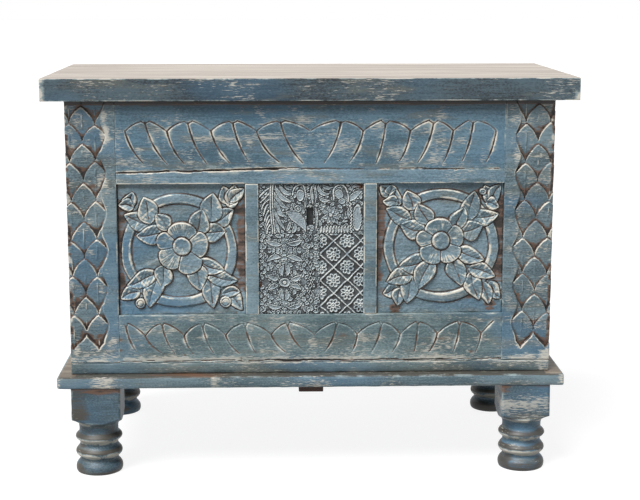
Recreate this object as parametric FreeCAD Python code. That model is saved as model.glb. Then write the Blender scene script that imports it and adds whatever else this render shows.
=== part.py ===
# A carved wooden storage chest with a hinged lid, on four turned legs.
# Lengths are millimetres and angles are degrees. X runs to the right, Y to the back, Z up.
# The origin is on the floor, under the middle of the body.
import FreeCAD, Part
import math
import os

# Body: four corner posts that stand on a plinth frame
body_width = 824.0
body_depth = 420.0
body_height = 449.0
post_width = 84.0
post_depth = 45.0
plinth_height = 20.0

# Lid: three boards held together by two battens
lid_thickness = 38.0
lid_side_overhang = 38.0
lid_front_overhang = 15.0
lid_rear_overhang = 15.0
lid_edge_radius = 3.0
lid_batten_width = 45.0
lid_batten_thickness = 18.0
lid_batten_inset = 162.0
lid_batten_end_gap = 10.0

# Base: three boards and a middle batten under the plinth
base_thickness = 21.0
base_side_overhang = 23.0
base_end_overhang = 20.0
base_edge_radius = 4.0
base_batten_width = 43.0
base_batten_thickness = 20.0
base_batten_setback = 45.0

# Legs: a square block over a turned shank, with a round tenon on top
leg_height = 156.0
leg_block_width = 84.0
leg_block_height = 64.0
leg_side_inset = 42.0
leg_end_inset = 24.0
leg_ring_radius = 40.5
leg_neck_radius = 33.5
leg_sole_radius = 37.0
leg_shoulder_drop = 9.0
leg_tenon_radius = 15.0
leg_tenon_grip = 25.0

# Front frame: rails, muntins, and the boards that fill and back its fields
frame_thickness = 28.0
front_top_rail_height = 117.0
field_rail_height = 23.0
front_bottom_rail_height = 83.0
muntin_width = 23.0
centre_field_width = 178.0
lining_thickness = 12.0
lining_lap = 30.0
panel_setback = 2.0
carving_depth = 8.0
ring_depth = 5.5
leaf_depth = 6.5
petal_depth = 7.0
block_setback = 2.5
block_seam_height = 139.0
upper_left_block_width = 81.6
lower_left_block_width = 104.0
block_slot_width = 11.0
block_slot_height = 31.5
block_slot_rise = 14.0
block_slot_depth = 12.0

# Sides and back: rails with thin boards in their grooves
side_thickness = 24.0
side_rail_height = 86.0
back_rail_height = 86.0
board_thickness = 14.0
board_setback = 7.0
board_tongue = 8.0

# Joints between the timbers
tenon_thickness = 10.0
tenon_length = 20.0
tenon_margin = 2.0
slim_tenon_length = 12.0
slim_tenon_shoulder = 4.0
joint_gap = 0.2
seam_gap = 0.3

# Hinges: two butt hinges let into the back rail and the lid
hinge_inset = 142.0
hinge_length = 60.0
hinge_leaf_width = 25.0
hinge_leaf_thickness = 1.6
hinge_leaf_gap = 0.2
hinge_knuckle_radius = 3.3
hinge_knuckle_gap = 0.2
hinge_knuckle_reach = 3.5
hinge_groove_gap = 0.5
hinge_pin_radius = 1.5
hinge_pin_play = 0.05
hinge_pin_head_radius = 2.4
hinge_pin_head_height = 1.2

# Countersunk screws
screw_hole_gap = 0.1
hinge_screw_radius = 1.6
hinge_screw_head_radius = 3.2
hinge_screw_head_height = 1.4
hinge_screw_length = 16.0
wood_screw_radius = 2.2
wood_screw_head_radius = 4.5
wood_screw_head_height = 3.0
wood_screw_grip = 14.0

# Cuts run past the faces that they open by this much
overrun = 5.0

# Boards that lie side by side
lid_board_names = ["front", "middle", "rear"]
base_board_names = ["front", "middle", "rear"]
back_board_names = ["left", "middle", "right"]
side_board_names = ["lower", "upper"]

# Screw places, in shares of the hinge's length, a board's width, half the body and its depth
hinge_screw_place_shares = [-1 / 3, 0, 1 / 3]
board_screw_place_shares = [-1 / 4, 1 / 4]
plinth_screw_place_shares = [-0.62, -0.25, 0.25, 0.62]
plinth_end_screw_place_shares = [-0.3, 0.3]

# Flower panels, in shares of half the panel's smaller side
ring_outer_share = 0.905
ring_inner_share = 0.76
petal_count = 5
petal_centre_share = 0.255
petal_radius_share = 0.165
hub_share = 0.148
flower_rise_share = 0.083
leaf_shares = [
    ((0.26, 0.34), (0.34, 0.61), 0.11),
    ((0.39, 0.30), (0.73, 0.34), 0.11),
    ((0.45, 0.53), (0.54, 0.90), 0.13),
    ((0.54, 0.46), (0.87, 0.55), 0.10),
    ((0.70, 0.70), (0.72, 0.93), 0.08),
    ((0.74, 0.68), (0.95, 0.83), 0.08),
]

# Turned shank, from the sole up: radius, and height as a share of the shank
shank_shares = [
    (leg_sole_radius, 0.0),
    (leg_ring_radius, 0.08),
    (leg_neck_radius, 0.225),
    (leg_ring_radius, 0.375),
    (leg_neck_radius, 0.53),
    (leg_ring_radius, 0.65),
    (leg_neck_radius, 0.83),
    (leg_neck_radius, 0.89),
]

# Heights above the floor
base_bottom = leg_height
base_top = base_bottom + base_thickness
body_bottom = base_top + plinth_height
body_top = body_bottom + body_height
lid_top = body_top + lid_thickness
field_bottom = body_bottom + front_bottom_rail_height
top_rail_bottom = body_top - front_top_rail_height
field_top = top_rail_bottom - field_rail_height

# Places measured from the middle of the body
half_width = body_width / 2
half_depth = body_depth / 2
post_inner_x = half_width - post_width
post_inner_y = half_depth - post_depth
frame_inner_y = half_depth - frame_thickness
side_inner_x = half_width - side_thickness
lining_inner_y = frame_inner_y - lining_thickness
muntin_inner_x = centre_field_width / 2
muntin_outer_x = muntin_inner_x + muntin_width
leg_x = half_width - leg_side_inset
leg_y = half_depth - leg_end_inset
hinge_centre_x = half_width - hinge_inset
hinge_axis_y = half_depth + hinge_knuckle_reach
lid_batten_x = half_width - lid_batten_inset
tenon_shoulder = board_tongue + tenon_margin

across_x = FreeCAD.Vector(1, 0, 0)
across_y = FreeCAD.Vector(0, 1, 0)
upwards = FreeCAD.Vector(0, 0, 1)
forwards = FreeCAD.Vector(0, -1, 0)
middle = FreeCAD.Vector(0, 0, 0)


# Shapes that repeat
def block(low, high):
    """A squared timber between two opposite corners."""
    size = [end - start for start, end in zip(low, high)]
    return Part.makeBox(size[0], size[1], size[2], FreeCAD.Vector(*low))


def tenon_block(low, high, along, across, length, shoulder, gap=0.0):
    """The tenons at both ends of a bar, as one block, grown by the gap for the mortise."""
    upright = 3 - along - across
    centre = (low[across] + high[across]) / 2
    start = list(low)
    end = list(high)
    start[along] -= length + gap
    end[along] += length + gap
    start[across] = centre - tenon_thickness / 2 - gap
    end[across] = centre + tenon_thickness / 2 + gap
    start[upright] += shoulder - gap
    end[upright] -= shoulder - gap
    return block(start, end)


def tenoned_bar(low, high, along, across, length, shoulder):
    """A rail or muntin with a tenon on each end."""
    tenons = tenon_block(low, high, along, across, length, shoulder)
    return block(low, high).fuse(tenons).removeSplitter()


def tongued(low, high, across, growth, gap=0.0):
    """A board grown into the grooves on its four edges."""
    start = [value - growth for value in low]
    end = [value + growth for value in high]
    start[across] = low[across] - gap
    end[across] = high[across] + gap
    return block(start, end)


def screw(head, shank_radius, head_radius, head_height, length, direction, gap=0.0):
    """A countersunk screw from the middle of its head, or the hole that clears it."""
    cone = Part.makeCone(head_radius + gap, shank_radius + gap, head_height, head, direction)
    shank = Part.makeCylinder(shank_radius + gap, length + gap, head, direction)
    return cone.fuse(shank).removeSplitter()


def wood_screws(heads, length, gap=0.0):
    """Wood screws that run straight up from a row of heads."""
    return [
        screw(head, wood_screw_radius, wood_screw_head_radius, wood_screw_head_height,
              length, upwards, gap)
        for head in heads
    ]


def hinge_screws(height, direction, gap=0.0):
    """The three screws of one leaf of the right hinge."""
    y = half_depth - hinge_leaf_width / 2
    heads = [
        FreeCAD.Vector(hinge_centre_x + share * hinge_length, y, height)
        for share in hinge_screw_place_shares
    ]
    return [
        screw(head, hinge_screw_radius, hinge_screw_head_radius, hinge_screw_head_height,
              hinge_screw_length, direction, gap)
        for head in heads
    ]


def mirrored(shape, normal):
    """The same piece on the other side of the middle."""
    return shape.mirror(middle, normal)


def save(name, *solids):
    """Write one node, a single solid or a group of like fasteners."""
    shape = solids[0] if len(solids) == 1 else Part.makeCompound(list(solids))
    shape.exportStep("parts/" + name + ".step")


# Rails of the four sides, as corner pairs that the posts and the boards share
front_rails = {
    "front_top_rail": ((-post_inner_x, -half_depth, top_rail_bottom),
                       (post_inner_x, -frame_inner_y, body_top), tenon_shoulder),
    "front_field_rail": ((-post_inner_x, -half_depth, field_top),
                         (post_inner_x, -frame_inner_y, top_rail_bottom), slim_tenon_shoulder),
    "front_bottom_rail": ((-post_inner_x, -half_depth, body_bottom),
                          (post_inner_x, -frame_inner_y, field_bottom), tenon_shoulder),
}
back_rails = {
    "back_top_rail": ((-post_inner_x, frame_inner_y, body_top - back_rail_height),
                      (post_inner_x, half_depth, body_top)),
    "back_bottom_rail": ((-post_inner_x, frame_inner_y, body_bottom),
                         (post_inner_x, half_depth, body_bottom + back_rail_height)),
}
side_rails = {
    "side_top_rail": ((side_inner_x, -post_inner_y, body_top - side_rail_height),
                      (half_width, post_inner_y, body_top)),
    "side_bottom_rail": ((side_inner_x, -post_inner_y, body_bottom),
                         (half_width, post_inner_y, body_bottom + side_rail_height)),
}
muntin_low = (muntin_inner_x, -half_depth, field_bottom)
muntin_high = (muntin_outer_x, -frame_inner_y, field_top)

# Boards of the sides and the back, between their rails and posts
side_board_outer_x = half_width - board_setback
side_opening_low = (side_board_outer_x - board_thickness, -post_inner_y,
                    body_bottom + side_rail_height)
side_opening_high = (side_board_outer_x, post_inner_y, body_top - side_rail_height)
back_board_outer_y = half_depth - board_setback
back_opening_low = (-post_inner_x, back_board_outer_y - board_thickness,
                    body_bottom + back_rail_height)
back_opening_high = (post_inner_x, back_board_outer_y, body_top - back_rail_height)


def side_groove():
    return tongued(side_opening_low, side_opening_high, 0, board_tongue + joint_gap, joint_gap)


def back_groove():
    return tongued(back_opening_low, back_opening_high, 1, board_tongue + joint_gap, joint_gap)


# Legs: turned below, square above, with a round tenon through the base into the post
def leg_tenon(gap=0.0):
    height = base_thickness + plinth_height + leg_tenon_grip + gap
    foot = FreeCAD.Vector(leg_x, leg_y, base_bottom)
    return Part.makeCylinder(leg_tenon_radius + gap, height, foot)


def make_legs():
    shank_height = leg_height - leg_block_height
    points = [
        FreeCAD.Vector(radius, 0, share * shank_height) for radius, share in shank_shares
    ]
    profile = Part.BSplineCurve()
    profile.interpolate(points)
    shoulder_start = points[-1]
    shoulder_end = FreeCAD.Vector(leg_block_width / 2, 0, shank_height)
    corner_radius = math.hypot(leg_block_width / 2, leg_block_width / 2)
    block_corner = FreeCAD.Vector(corner_radius, 0, shank_height + leg_shoulder_drop)
    block_edge = FreeCAD.Vector(corner_radius, 0, leg_height)
    edges = [
        profile.toShape(),
        Part.LineSegment(shoulder_start, shoulder_end).toShape(),
        Part.LineSegment(shoulder_end, block_corner).toShape(),
        Part.LineSegment(block_corner, block_edge).toShape(),
        Part.LineSegment(block_edge, FreeCAD.Vector(0, 0, leg_height)).toShape(),
        Part.LineSegment(FreeCAD.Vector(0, 0, leg_height), middle).toShape(),
        Part.LineSegment(middle, points[0]).toShape(),
    ]
    turned = Part.Face(Part.Wire(edges)).revolve(middle, upwards, 360)
    half_block = leg_block_width / 2
    square = block((-half_block, -half_block, 0), (half_block, half_block, leg_height))
    leg = turned.common(square)
    leg.translate(FreeCAD.Vector(leg_x, leg_y, 0))
    rear_right = leg.fuse(leg_tenon()).removeSplitter()
    rear_left = mirrored(rear_right, across_x)
    save("leg_rear_right", rear_right)
    save("leg_rear_left", rear_left)
    save("leg_front_right", mirrored(rear_right, across_y))
    save("leg_front_left", mirrored(rear_left, across_y))


def leg_holes():
    """Holes for the four leg tenons."""
    rear = leg_tenon(joint_gap)
    front = mirrored(rear, across_y)
    return [rear, front, mirrored(rear, across_x), mirrored(front, across_x)]


# Base: three boards side by side, screwed up into the plinth, and a batten across them
def base_screw_heads():
    end_y = half_depth - post_depth / 2
    side_x = half_width - side_thickness / 2
    heads = []
    for side in (-1, 1):
        for share in plinth_screw_place_shares:
            heads.append(FreeCAD.Vector(share * half_width, side * end_y, base_bottom))
        for share in plinth_end_screw_place_shares:
            heads.append(FreeCAD.Vector(side * side_x, share * body_depth, base_bottom))
    return heads


def board_screw_heads(x, height, board_depth, names, limit):
    """Two screw places for each board that a batten crosses."""
    heads = []
    for index in range(len(names)):
        board_middle = (index + 0.5 - len(names) / 2) * board_depth
        for share in board_screw_place_shares:
            y = board_middle + share * board_depth
            y = max(-limit, min(limit, y))
            heads.append(FreeCAD.Vector(x, y, height))
    return heads


def make_base():
    base_half_x = half_width + base_side_overhang
    base_half_y = half_depth + base_end_overhang
    board_depth = 2 * base_half_y / len(base_board_names)
    whole = block((-base_half_x, -base_half_y, base_bottom), (base_half_x, base_half_y, base_top))
    whole = whole.makeFillet(base_edge_radius, whole.Edges)
    batten_half_y = base_half_y - base_batten_setback
    batten_bottom = base_bottom - base_batten_thickness
    batten_heads = board_screw_heads(0, batten_bottom, board_depth, base_board_names,
                                     batten_half_y - base_batten_width / 2)
    batten_screw_length = base_batten_thickness + wood_screw_grip
    plinth_screw_length = base_thickness + wood_screw_grip
    holes = leg_holes()
    holes += wood_screws(batten_heads, batten_screw_length, screw_hole_gap)
    holes += wood_screws(base_screw_heads(), plinth_screw_length, screw_hole_gap)
    for index, name in enumerate(base_board_names):
        start = -base_half_y + index * board_depth
        slab = block((-base_half_x, start, base_bottom), (base_half_x, start + board_depth, base_top))
        save("base_board_" + name, whole.common(slab).cut(holes))
    batten = block((-base_batten_width / 2, -batten_half_y, batten_bottom),
                   (base_batten_width / 2, batten_half_y, base_bottom))
    batten_holes = wood_screws(batten_heads, batten_screw_length, screw_hole_gap)
    save("base_batten", batten.cut(batten_holes))
    save("base_batten_screws", *wood_screws(batten_heads, batten_screw_length))
    save("base_screws", *wood_screws(base_screw_heads(), plinth_screw_length))


# Plinth: a low frame on the base, that the posts and the bottom rails stand on
def make_plinth():
    screw_length = base_thickness + wood_screw_grip
    holes = leg_holes() + wood_screws(base_screw_heads(), screw_length, screw_hole_gap)
    rear = block((-half_width, post_inner_y, base_top), (half_width, half_depth, body_bottom))
    right = block((side_inner_x, -post_inner_y, base_top), (half_width, post_inner_y, body_bottom))
    save("plinth_rear", rear.cut(holes))
    save("plinth_front", mirrored(rear, across_y).cut(holes))
    save("plinth_right", right.cut(holes))
    save("plinth_left", mirrored(right, across_x).cut(holes))


# Corner posts: mortised for the rails, grooved for the boards, bored for the legs
def make_posts():
    side_mortises = [
        tenon_block(low, high, 1, 0, tenon_length, tenon_shoulder, joint_gap)
        for low, high in side_rails.values()
    ]
    front_mortises = [
        tenon_block(low, high, 0, 1, tenon_length, shoulder, joint_gap)
        for low, high, shoulder in front_rails.values()
    ]
    back_mortises = [
        tenon_block(low, high, 0, 1, tenon_length, tenon_shoulder, joint_gap)
        for low, high in back_rails.values()
    ]
    rear_blank = block((post_inner_x, post_inner_y, body_bottom), (half_width, half_depth, body_top))
    front_blank = mirrored(rear_blank, across_y)
    shared = side_mortises + [side_groove()] + leg_holes()
    front = front_blank.cut(front_mortises + shared)
    rear = rear_blank.cut(back_mortises + [back_groove()] + shared)
    save("corner_post_front_right", front)
    save("corner_post_front_left", mirrored(front, across_x))
    save("corner_post_rear_right", rear)
    save("corner_post_rear_left", mirrored(rear, across_x))


# Front frame: three rails between the posts, two muntins, and a lining board behind
def make_front_frame():
    muntin_mortise = tenon_block(muntin_low, muntin_high, 2, 1, slim_tenon_length,
                                 slim_tenon_shoulder, joint_gap)
    mortises = [muntin_mortise, mirrored(muntin_mortise, across_x)]
    for name, (low, high, shoulder) in front_rails.items():
        rail = tenoned_bar(low, high, 0, 1, tenon_length, shoulder)
        save(name, rail.cut(mortises))
    muntin = tenoned_bar(muntin_low, muntin_high, 2, 1, slim_tenon_length, slim_tenon_shoulder)
    save("front_muntin_right", muntin)
    save("front_muntin_left", mirrored(muntin, across_x))
    lining_half_x = post_inner_x - seam_gap
    lining = block((-lining_half_x, -frame_inner_y, body_bottom),
                   (lining_half_x, -lining_inner_y, top_rail_bottom + lining_lap))
    save("front_lining_board", lining)


# Flower panels: a ring, five petals round a hub, and a sprig of leaves in each corner
def leaf(base, tip, half_leaf_width, depth):
    """A pointed leaf between two arcs."""
    along = tip - base
    centre = base + along * 0.5
    sideways = FreeCAD.Vector(along.z, 0, -along.x).normalize() * half_leaf_width
    one_edge = Part.Arc(base, centre + sideways, tip).toShape()
    other_edge = Part.Arc(tip, centre - sideways, base).toShape()
    return Part.Face(Part.Wire([one_edge, other_edge])).extrude(forwards * depth)


def disc(centre, radius, depth):
    return Part.makeCylinder(radius, depth, centre, forwards)


def flower_relief(centre, reach):
    """All the raised parts of one carved panel, standing on its ground."""
    ring = disc(centre, ring_outer_share * reach, ring_depth)
    ring = ring.cut(disc(centre, ring_inner_share * reach, ring_depth))
    flower_centre = centre + upwards * (flower_rise_share * reach)
    raised = [ring, disc(flower_centre, hub_share * reach, carving_depth)]
    for index in range(petal_count):
        angle = 2 * math.pi * index / petal_count
        outward = FreeCAD.Vector(math.sin(angle), 0, math.cos(angle))
        petal_centre = flower_centre + outward * (petal_centre_share * reach)
        raised.append(disc(petal_centre, petal_radius_share * reach, petal_depth))
    for (base_x, base_z), (tip_x, tip_z), width_share in leaf_shares:
        for side in (-1, 1):
            for rise in (-1, 1):
                base = centre + FreeCAD.Vector(side * base_x, 0, rise * base_z) * reach
                tip = centre + FreeCAD.Vector(side * tip_x, 0, rise * tip_z) * reach
                raised.append(leaf(base, tip, width_share * reach, leaf_depth))
    return raised


def make_flower_panels():
    face_y = -half_depth + panel_setback
    ground_y = face_y + carving_depth
    low = (muntin_outer_x + seam_gap, ground_y, field_bottom + seam_gap)
    high = (post_inner_x - seam_gap, -frame_inner_y, field_top - seam_gap)
    reach = min(high[0] - low[0], high[2] - low[2]) / 2
    centre = FreeCAD.Vector((low[0] + high[0]) / 2, ground_y, (low[2] + high[2]) / 2)
    ground = block(low, high)
    panel = ground.multiFuse(flower_relief(centre, reach)).removeSplitter()
    save("flower_panel_right", panel)
    save("flower_panel_left", mirrored(panel, across_x))


# Printing blocks: four old hand-cut blocks set in the middle field
def make_printing_blocks():
    face_y = -half_depth + block_setback
    left_x = -muntin_inner_x + seam_gap
    right_x = muntin_inner_x - seam_gap
    bottom_z = field_bottom + seam_gap
    top_z = field_top - seam_gap
    seam_z = field_bottom + block_seam_height
    upper_x = -muntin_inner_x + upper_left_block_width
    lower_x = -muntin_inner_x + lower_left_block_width
    half_seam = seam_gap / 2
    places = {
        "upper_left": (left_x, upper_x - half_seam, seam_z + half_seam, top_z),
        "upper_right": (upper_x + half_seam, right_x, seam_z + half_seam, top_z),
        "lower_left": (left_x, lower_x - half_seam, bottom_z, seam_z - half_seam),
        "lower_right": (lower_x + half_seam, right_x, bottom_z, seam_z - half_seam),
    }
    slot = block((upper_x - overrun, face_y - overrun, seam_z + block_slot_rise),
                 (upper_x + block_slot_width, face_y + block_slot_depth,
                  seam_z + block_slot_rise + block_slot_height))
    for name, (start_x, end_x, start_z, end_z) in places.items():
        piece = block((start_x, face_y, start_z), (end_x, -frame_inner_y, end_z))
        if name == "upper_right":
            piece = piece.cut(slot)
        save("printing_block_" + name, piece)


# Sides: two rails with two boards between them, the same on the left and the right
def make_sides():
    groove = side_groove()
    for name, (low, high) in side_rails.items():
        rail = tenoned_bar(low, high, 1, 0, tenon_length, tenon_shoulder).cut(groove)
        save(name + "_right", rail)
        save(name + "_left", mirrored(rail, across_x))
    whole = tongued(side_opening_low, side_opening_high, 0, board_tongue)
    box = whole.BoundBox
    board_height = box.ZLength / len(side_board_names)
    for index, name in enumerate(side_board_names):
        bottom = box.ZMin + index * board_height
        slab = block((box.XMin, box.YMin, bottom), (box.XMax, box.YMax, bottom + board_height))
        save("side_board_" + name + "_right", slab)
        save("side_board_" + name + "_left", mirrored(slab, across_x))


# Back: two rails with three upright boards between them
def make_back():
    groove = back_groove()
    for name, (low, high) in back_rails.items():
        rail = tenoned_bar(low, high, 0, 1, tenon_length, tenon_shoulder).cut(groove)
        if name == "back_top_rail":
            rail = rail.cut(hinge_recesses_in_body())
        save(name, rail)
    whole = tongued(back_opening_low, back_opening_high, 1, board_tongue)
    box = whole.BoundBox
    board_width = box.XLength / len(back_board_names)
    for index, name in enumerate(back_board_names):
        start = box.XMin + index * board_width
        save("back_board_" + name,
             block((start, box.YMin, box.ZMin), (start + board_width, box.YMax, box.ZMax)))


# Hinges: each has a leaf on the body, a leaf on the lid, and a pin
hinge_start_x = hinge_centre_x - hinge_length / 2
hinge_end_x = hinge_centre_x + hinge_length / 2
hinge_leaf_start_y = half_depth - hinge_leaf_width
body_leaf_top = body_top - hinge_leaf_gap
body_leaf_bottom = body_leaf_top - hinge_leaf_thickness
lid_leaf_bottom = body_top + hinge_leaf_gap
lid_leaf_top = lid_leaf_bottom + hinge_leaf_thickness


def hinge_cylinder(start_x, end_x, radius):
    """A round bar on the hinge's axis."""
    start = FreeCAD.Vector(start_x, hinge_axis_y, body_top)
    return Part.makeCylinder(radius, end_x - start_x, start, across_x)


def hinge_leaf(bottom, top, knuckles, screws):
    """A plate with its share of the three knuckles, bored for the pin and the screws."""
    plate = block((hinge_start_x, hinge_leaf_start_y, bottom), (hinge_end_x, half_depth, top))
    knuckle_length = hinge_length / 3
    pieces = []
    for index in knuckles:
        start_x = hinge_start_x + index * knuckle_length + hinge_knuckle_gap / 2
        end_x = start_x + knuckle_length - hinge_knuckle_gap
        pieces.append(hinge_cylinder(start_x, end_x, hinge_knuckle_radius))
        pieces.append(block((start_x, hinge_leaf_start_y, bottom), (end_x, hinge_axis_y, top)))
    bore = hinge_cylinder(hinge_start_x - overrun, hinge_end_x + overrun,
                          hinge_pin_radius + hinge_pin_play)
    return plate.multiFuse(pieces).removeSplitter().cut([bore] + screws)


def hinge_recesses_in_body():
    """Sinkings for the body leaves in the top of the back rail, with their screw holes."""
    sinking = block((hinge_start_x - joint_gap, hinge_leaf_start_y - joint_gap, body_leaf_bottom),
                    (hinge_end_x + joint_gap, half_depth + overrun, body_top + overrun))
    right = [sinking] + hinge_screws(body_leaf_top, -upwards, screw_hole_gap)
    return right + [mirrored(cut, across_x) for cut in right]


def hinge_recesses_in_lid():
    """Sinkings for the lid leaves and the knuckles in the underside of the lid."""
    sinking = block((hinge_start_x - joint_gap, hinge_leaf_start_y - joint_gap, body_top - overrun),
                    (hinge_end_x + joint_gap, hinge_axis_y, lid_leaf_top))
    run_out = hinge_pin_head_height + hinge_groove_gap
    groove = hinge_cylinder(hinge_start_x - run_out, hinge_end_x + run_out,
                            hinge_knuckle_radius + hinge_groove_gap)
    right = [sinking, groove] + hinge_screws(lid_leaf_bottom, upwards, screw_hole_gap)
    return right + [mirrored(cut, across_x) for cut in right]


def make_hinges():
    body_holes = hinge_screws(body_leaf_top, -upwards, screw_hole_gap)
    lid_holes = hinge_screws(lid_leaf_bottom, upwards, screw_hole_gap)
    body_leaf = hinge_leaf(body_leaf_bottom, body_leaf_top, (0, 2), body_holes)
    lid_leaf = hinge_leaf(lid_leaf_bottom, lid_leaf_top, (1,), lid_holes)
    heads = [
        hinge_cylinder(hinge_start_x - hinge_pin_head_height, hinge_start_x,
                       hinge_pin_head_radius),
        hinge_cylinder(hinge_end_x, hinge_end_x + hinge_pin_head_height, hinge_pin_head_radius),
    ]
    pin = hinge_cylinder(hinge_start_x, hinge_end_x, hinge_pin_radius)
    pin = pin.multiFuse(heads).removeSplitter()
    for name, piece in (("hinge_body_leaf", body_leaf), ("hinge_lid_leaf", lid_leaf),
                        ("hinge_pin", pin)):
        save(name + "_right", piece)
        save(name + "_left", mirrored(piece, across_x))
    body_screws = hinge_screws(body_leaf_top, -upwards)
    lid_screws = hinge_screws(lid_leaf_bottom, upwards)
    save("hinge_body_screws", *body_screws, *[mirrored(one, across_x) for one in body_screws])
    save("hinge_lid_screws", *lid_screws, *[mirrored(one, across_x) for one in lid_screws])


# Lid: three boards with rounded outer edges, on two battens screwed up from inside
def make_lid():
    lid_half_x = half_width + lid_side_overhang
    front_y = -half_depth - lid_front_overhang
    rear_y = half_depth + lid_rear_overhang
    board_depth = (rear_y - front_y) / len(lid_board_names)
    whole = block((-lid_half_x, front_y, body_top), (lid_half_x, rear_y, lid_top))
    whole = whole.makeFillet(lid_edge_radius, whole.Edges)
    batten_half_y = lining_inner_y - lid_batten_end_gap
    batten_bottom = body_top - lid_batten_thickness
    right_heads = board_screw_heads(lid_batten_x, batten_bottom, board_depth,
                                    lid_board_names, batten_half_y - lid_batten_width / 2)
    left_heads = [FreeCAD.Vector(-head.x, head.y, head.z) for head in right_heads]
    screw_length = lid_batten_thickness + wood_screw_grip
    holes = wood_screws(right_heads + left_heads, screw_length, screw_hole_gap)
    for index, name in enumerate(lid_board_names):
        start = front_y + index * board_depth
        slab = block((-lid_half_x, start, body_top), (lid_half_x, start + board_depth, lid_top))
        board = whole.common(slab).cut(holes)
        if name == "rear":
            board = board.cut(hinge_recesses_in_lid())
        save("lid_board_" + name, board)
    batten = block((lid_batten_x - lid_batten_width / 2, -batten_half_y, batten_bottom),
                   (lid_batten_x + lid_batten_width / 2, batten_half_y, body_top))
    batten = batten.cut(wood_screws(right_heads, screw_length, screw_hole_gap))
    save("lid_batten_right", batten)
    save("lid_batten_left", mirrored(batten, across_x))
    save("lid_batten_screws", *wood_screws(right_heads + left_heads, screw_length))


os.makedirs("parts", exist_ok=True)
make_legs()
make_base()
make_plinth()
make_posts()
make_front_frame()
make_flower_panels()
make_printing_blocks()
make_sides()
make_back()
make_hinges()
make_lid()
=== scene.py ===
import math

import bmesh
import bpy
import numpy as np
from mathutils import Matrix, Vector


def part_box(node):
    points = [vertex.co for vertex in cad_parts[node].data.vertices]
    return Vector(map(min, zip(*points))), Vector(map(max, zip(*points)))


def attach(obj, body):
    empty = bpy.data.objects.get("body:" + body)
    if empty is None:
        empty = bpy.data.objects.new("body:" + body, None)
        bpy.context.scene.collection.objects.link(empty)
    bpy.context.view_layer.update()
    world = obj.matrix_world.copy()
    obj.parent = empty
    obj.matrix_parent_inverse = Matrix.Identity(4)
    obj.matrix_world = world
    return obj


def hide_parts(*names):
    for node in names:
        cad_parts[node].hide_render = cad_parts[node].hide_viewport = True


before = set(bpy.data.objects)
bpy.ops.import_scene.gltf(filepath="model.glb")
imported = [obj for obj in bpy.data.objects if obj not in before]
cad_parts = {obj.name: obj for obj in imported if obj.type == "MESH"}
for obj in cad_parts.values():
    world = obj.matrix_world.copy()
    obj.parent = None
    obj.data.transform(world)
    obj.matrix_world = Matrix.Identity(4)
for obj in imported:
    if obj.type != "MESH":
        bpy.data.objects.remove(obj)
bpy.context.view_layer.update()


# Legs
# Mango wood, turned on a lathe below a square block, painted blue over a cream ground and
# rubbed back by hand: cream under the rings, grey-brown on their widest parts.
mm = 0.001
cream = "#dad5c8"
chalk = "#98a8aa"
bare_wood = "#664936"
# The darkest wood colour also paints the shadow under the lid and along the flower panels' left edges.
dark_wood_and_shadow = "#1f1a18"
rubbed_grey = "#686a61"
# The dirt colour also paints shade: in recesses, under the lid, at the plinth's foot and on the base in
# front of it.
dirt_and_shade_colour = "#413a30"
blue_dark = "#506670"
blue_light = "#859ca6"
blue_fresh = "#4f7793"


def colour(code):
    """An sRGB hex colour as the linear values that a shader takes."""
    parts = [int(code[start:start + 2], 16) / 255 for start in (1, 3, 5)]
    return (*[part / 12.92 if part <= 0.04045 else ((part + 0.055) / 1.055) ** 2.4
              for part in parts], 1)


def add_node(owner, kind, inputs=None, output=0, **settings):
    """One shader node with its settings, its links and its typed inputs. It gives back the
    output that is used."""
    node = owner.node_tree.nodes.new(kind)
    for name, value in settings.items():
        setattr(node, name, value)
    for name, value in (inputs or {}).items():
        if isinstance(value, bpy.types.NodeSocket):
            owner.node_tree.links.new(value, node.inputs[name])
        else:
            node.inputs[name].default_value = colour(value) if isinstance(value, str) else value
    return node.outputs[output]


def new_material(name):
    """A material with its shader."""
    material = bpy.data.materials.new(name)
    material.use_nodes = True
    return material, material.node_tree.nodes["Principled BSDF"]


def grain_noise(material, grain, length, width, detail=3.0):
    """Noise drawn out along the grain's axes: its lumps are length by width millimetres."""
    scale = [1 / ((length if axis in grain else width) * mm) for axis in "XYZ"]
    place = add_node(material, "ShaderNodeTexCoord", output="Object")
    drawn = add_node(material, "ShaderNodeMapping", {"Vector": place, "Scale": scale})
    return add_node(material, "ShaderNodeTexNoise",
                    {"Vector": drawn, "Scale": 1.0, "Detail": detail, "Roughness": 0.6})


def layered(material, surface, coats):
    """Colours laid over a first one in turn. Each coat is a value, the two limits that the
    value rises between, the most that the coat covers, and its colour."""
    for value, low, high, cover, coat in coats:
        share = add_node(material, "ShaderNodeMapRange",
                         {"Value": value, "From Min": low, "From Max": high, "To Max": cover},
                         interpolation_type="SMOOTHSTEP")
        surface = add_node(material, "ShaderNodeMix", {0: share, 6: surface, 7: coat}, output=2,
                           data_type="RGBA")
    return surface


def sway(material, value, noise_value, share):
    """A value moved up and down by noise, by share times the noise less a half."""
    lowered = add_node(material, "ShaderNodeMath", {0: noise_value, 1: 0.5}, operation="SUBTRACT")
    return add_node(material, "ShaderNodeMath", {0: lowered, 1: share, 2: value},
                    operation="MULTIPLY_ADD")


def patchy(material, noise_value, low, high, base, depth, speck, speck_share):
    """A share that changes from patch to patch and from speck to speck."""
    patch = add_node(material, "ShaderNodeMapRange",
                     {"Value": noise_value, "From Min": low, "From Max": high},
                     interpolation_type="SMOOTHSTEP")
    return sway(material, sway(material, base, patch, depth), speck, speck_share)


def dress(material, shader, surface, relief, strength, depth):
    """Give the shader its colour, and a fine relief that is depth millimetres deep."""
    bump = add_node(material, "ShaderNodeBump",
                    {"Height": relief, "Strength": strength, "Distance": depth * mm})
    material.node_tree.links.new(surface, shader.inputs["Base Color"])
    material.node_tree.links.new(bump, shader.inputs["Normal"])


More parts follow.
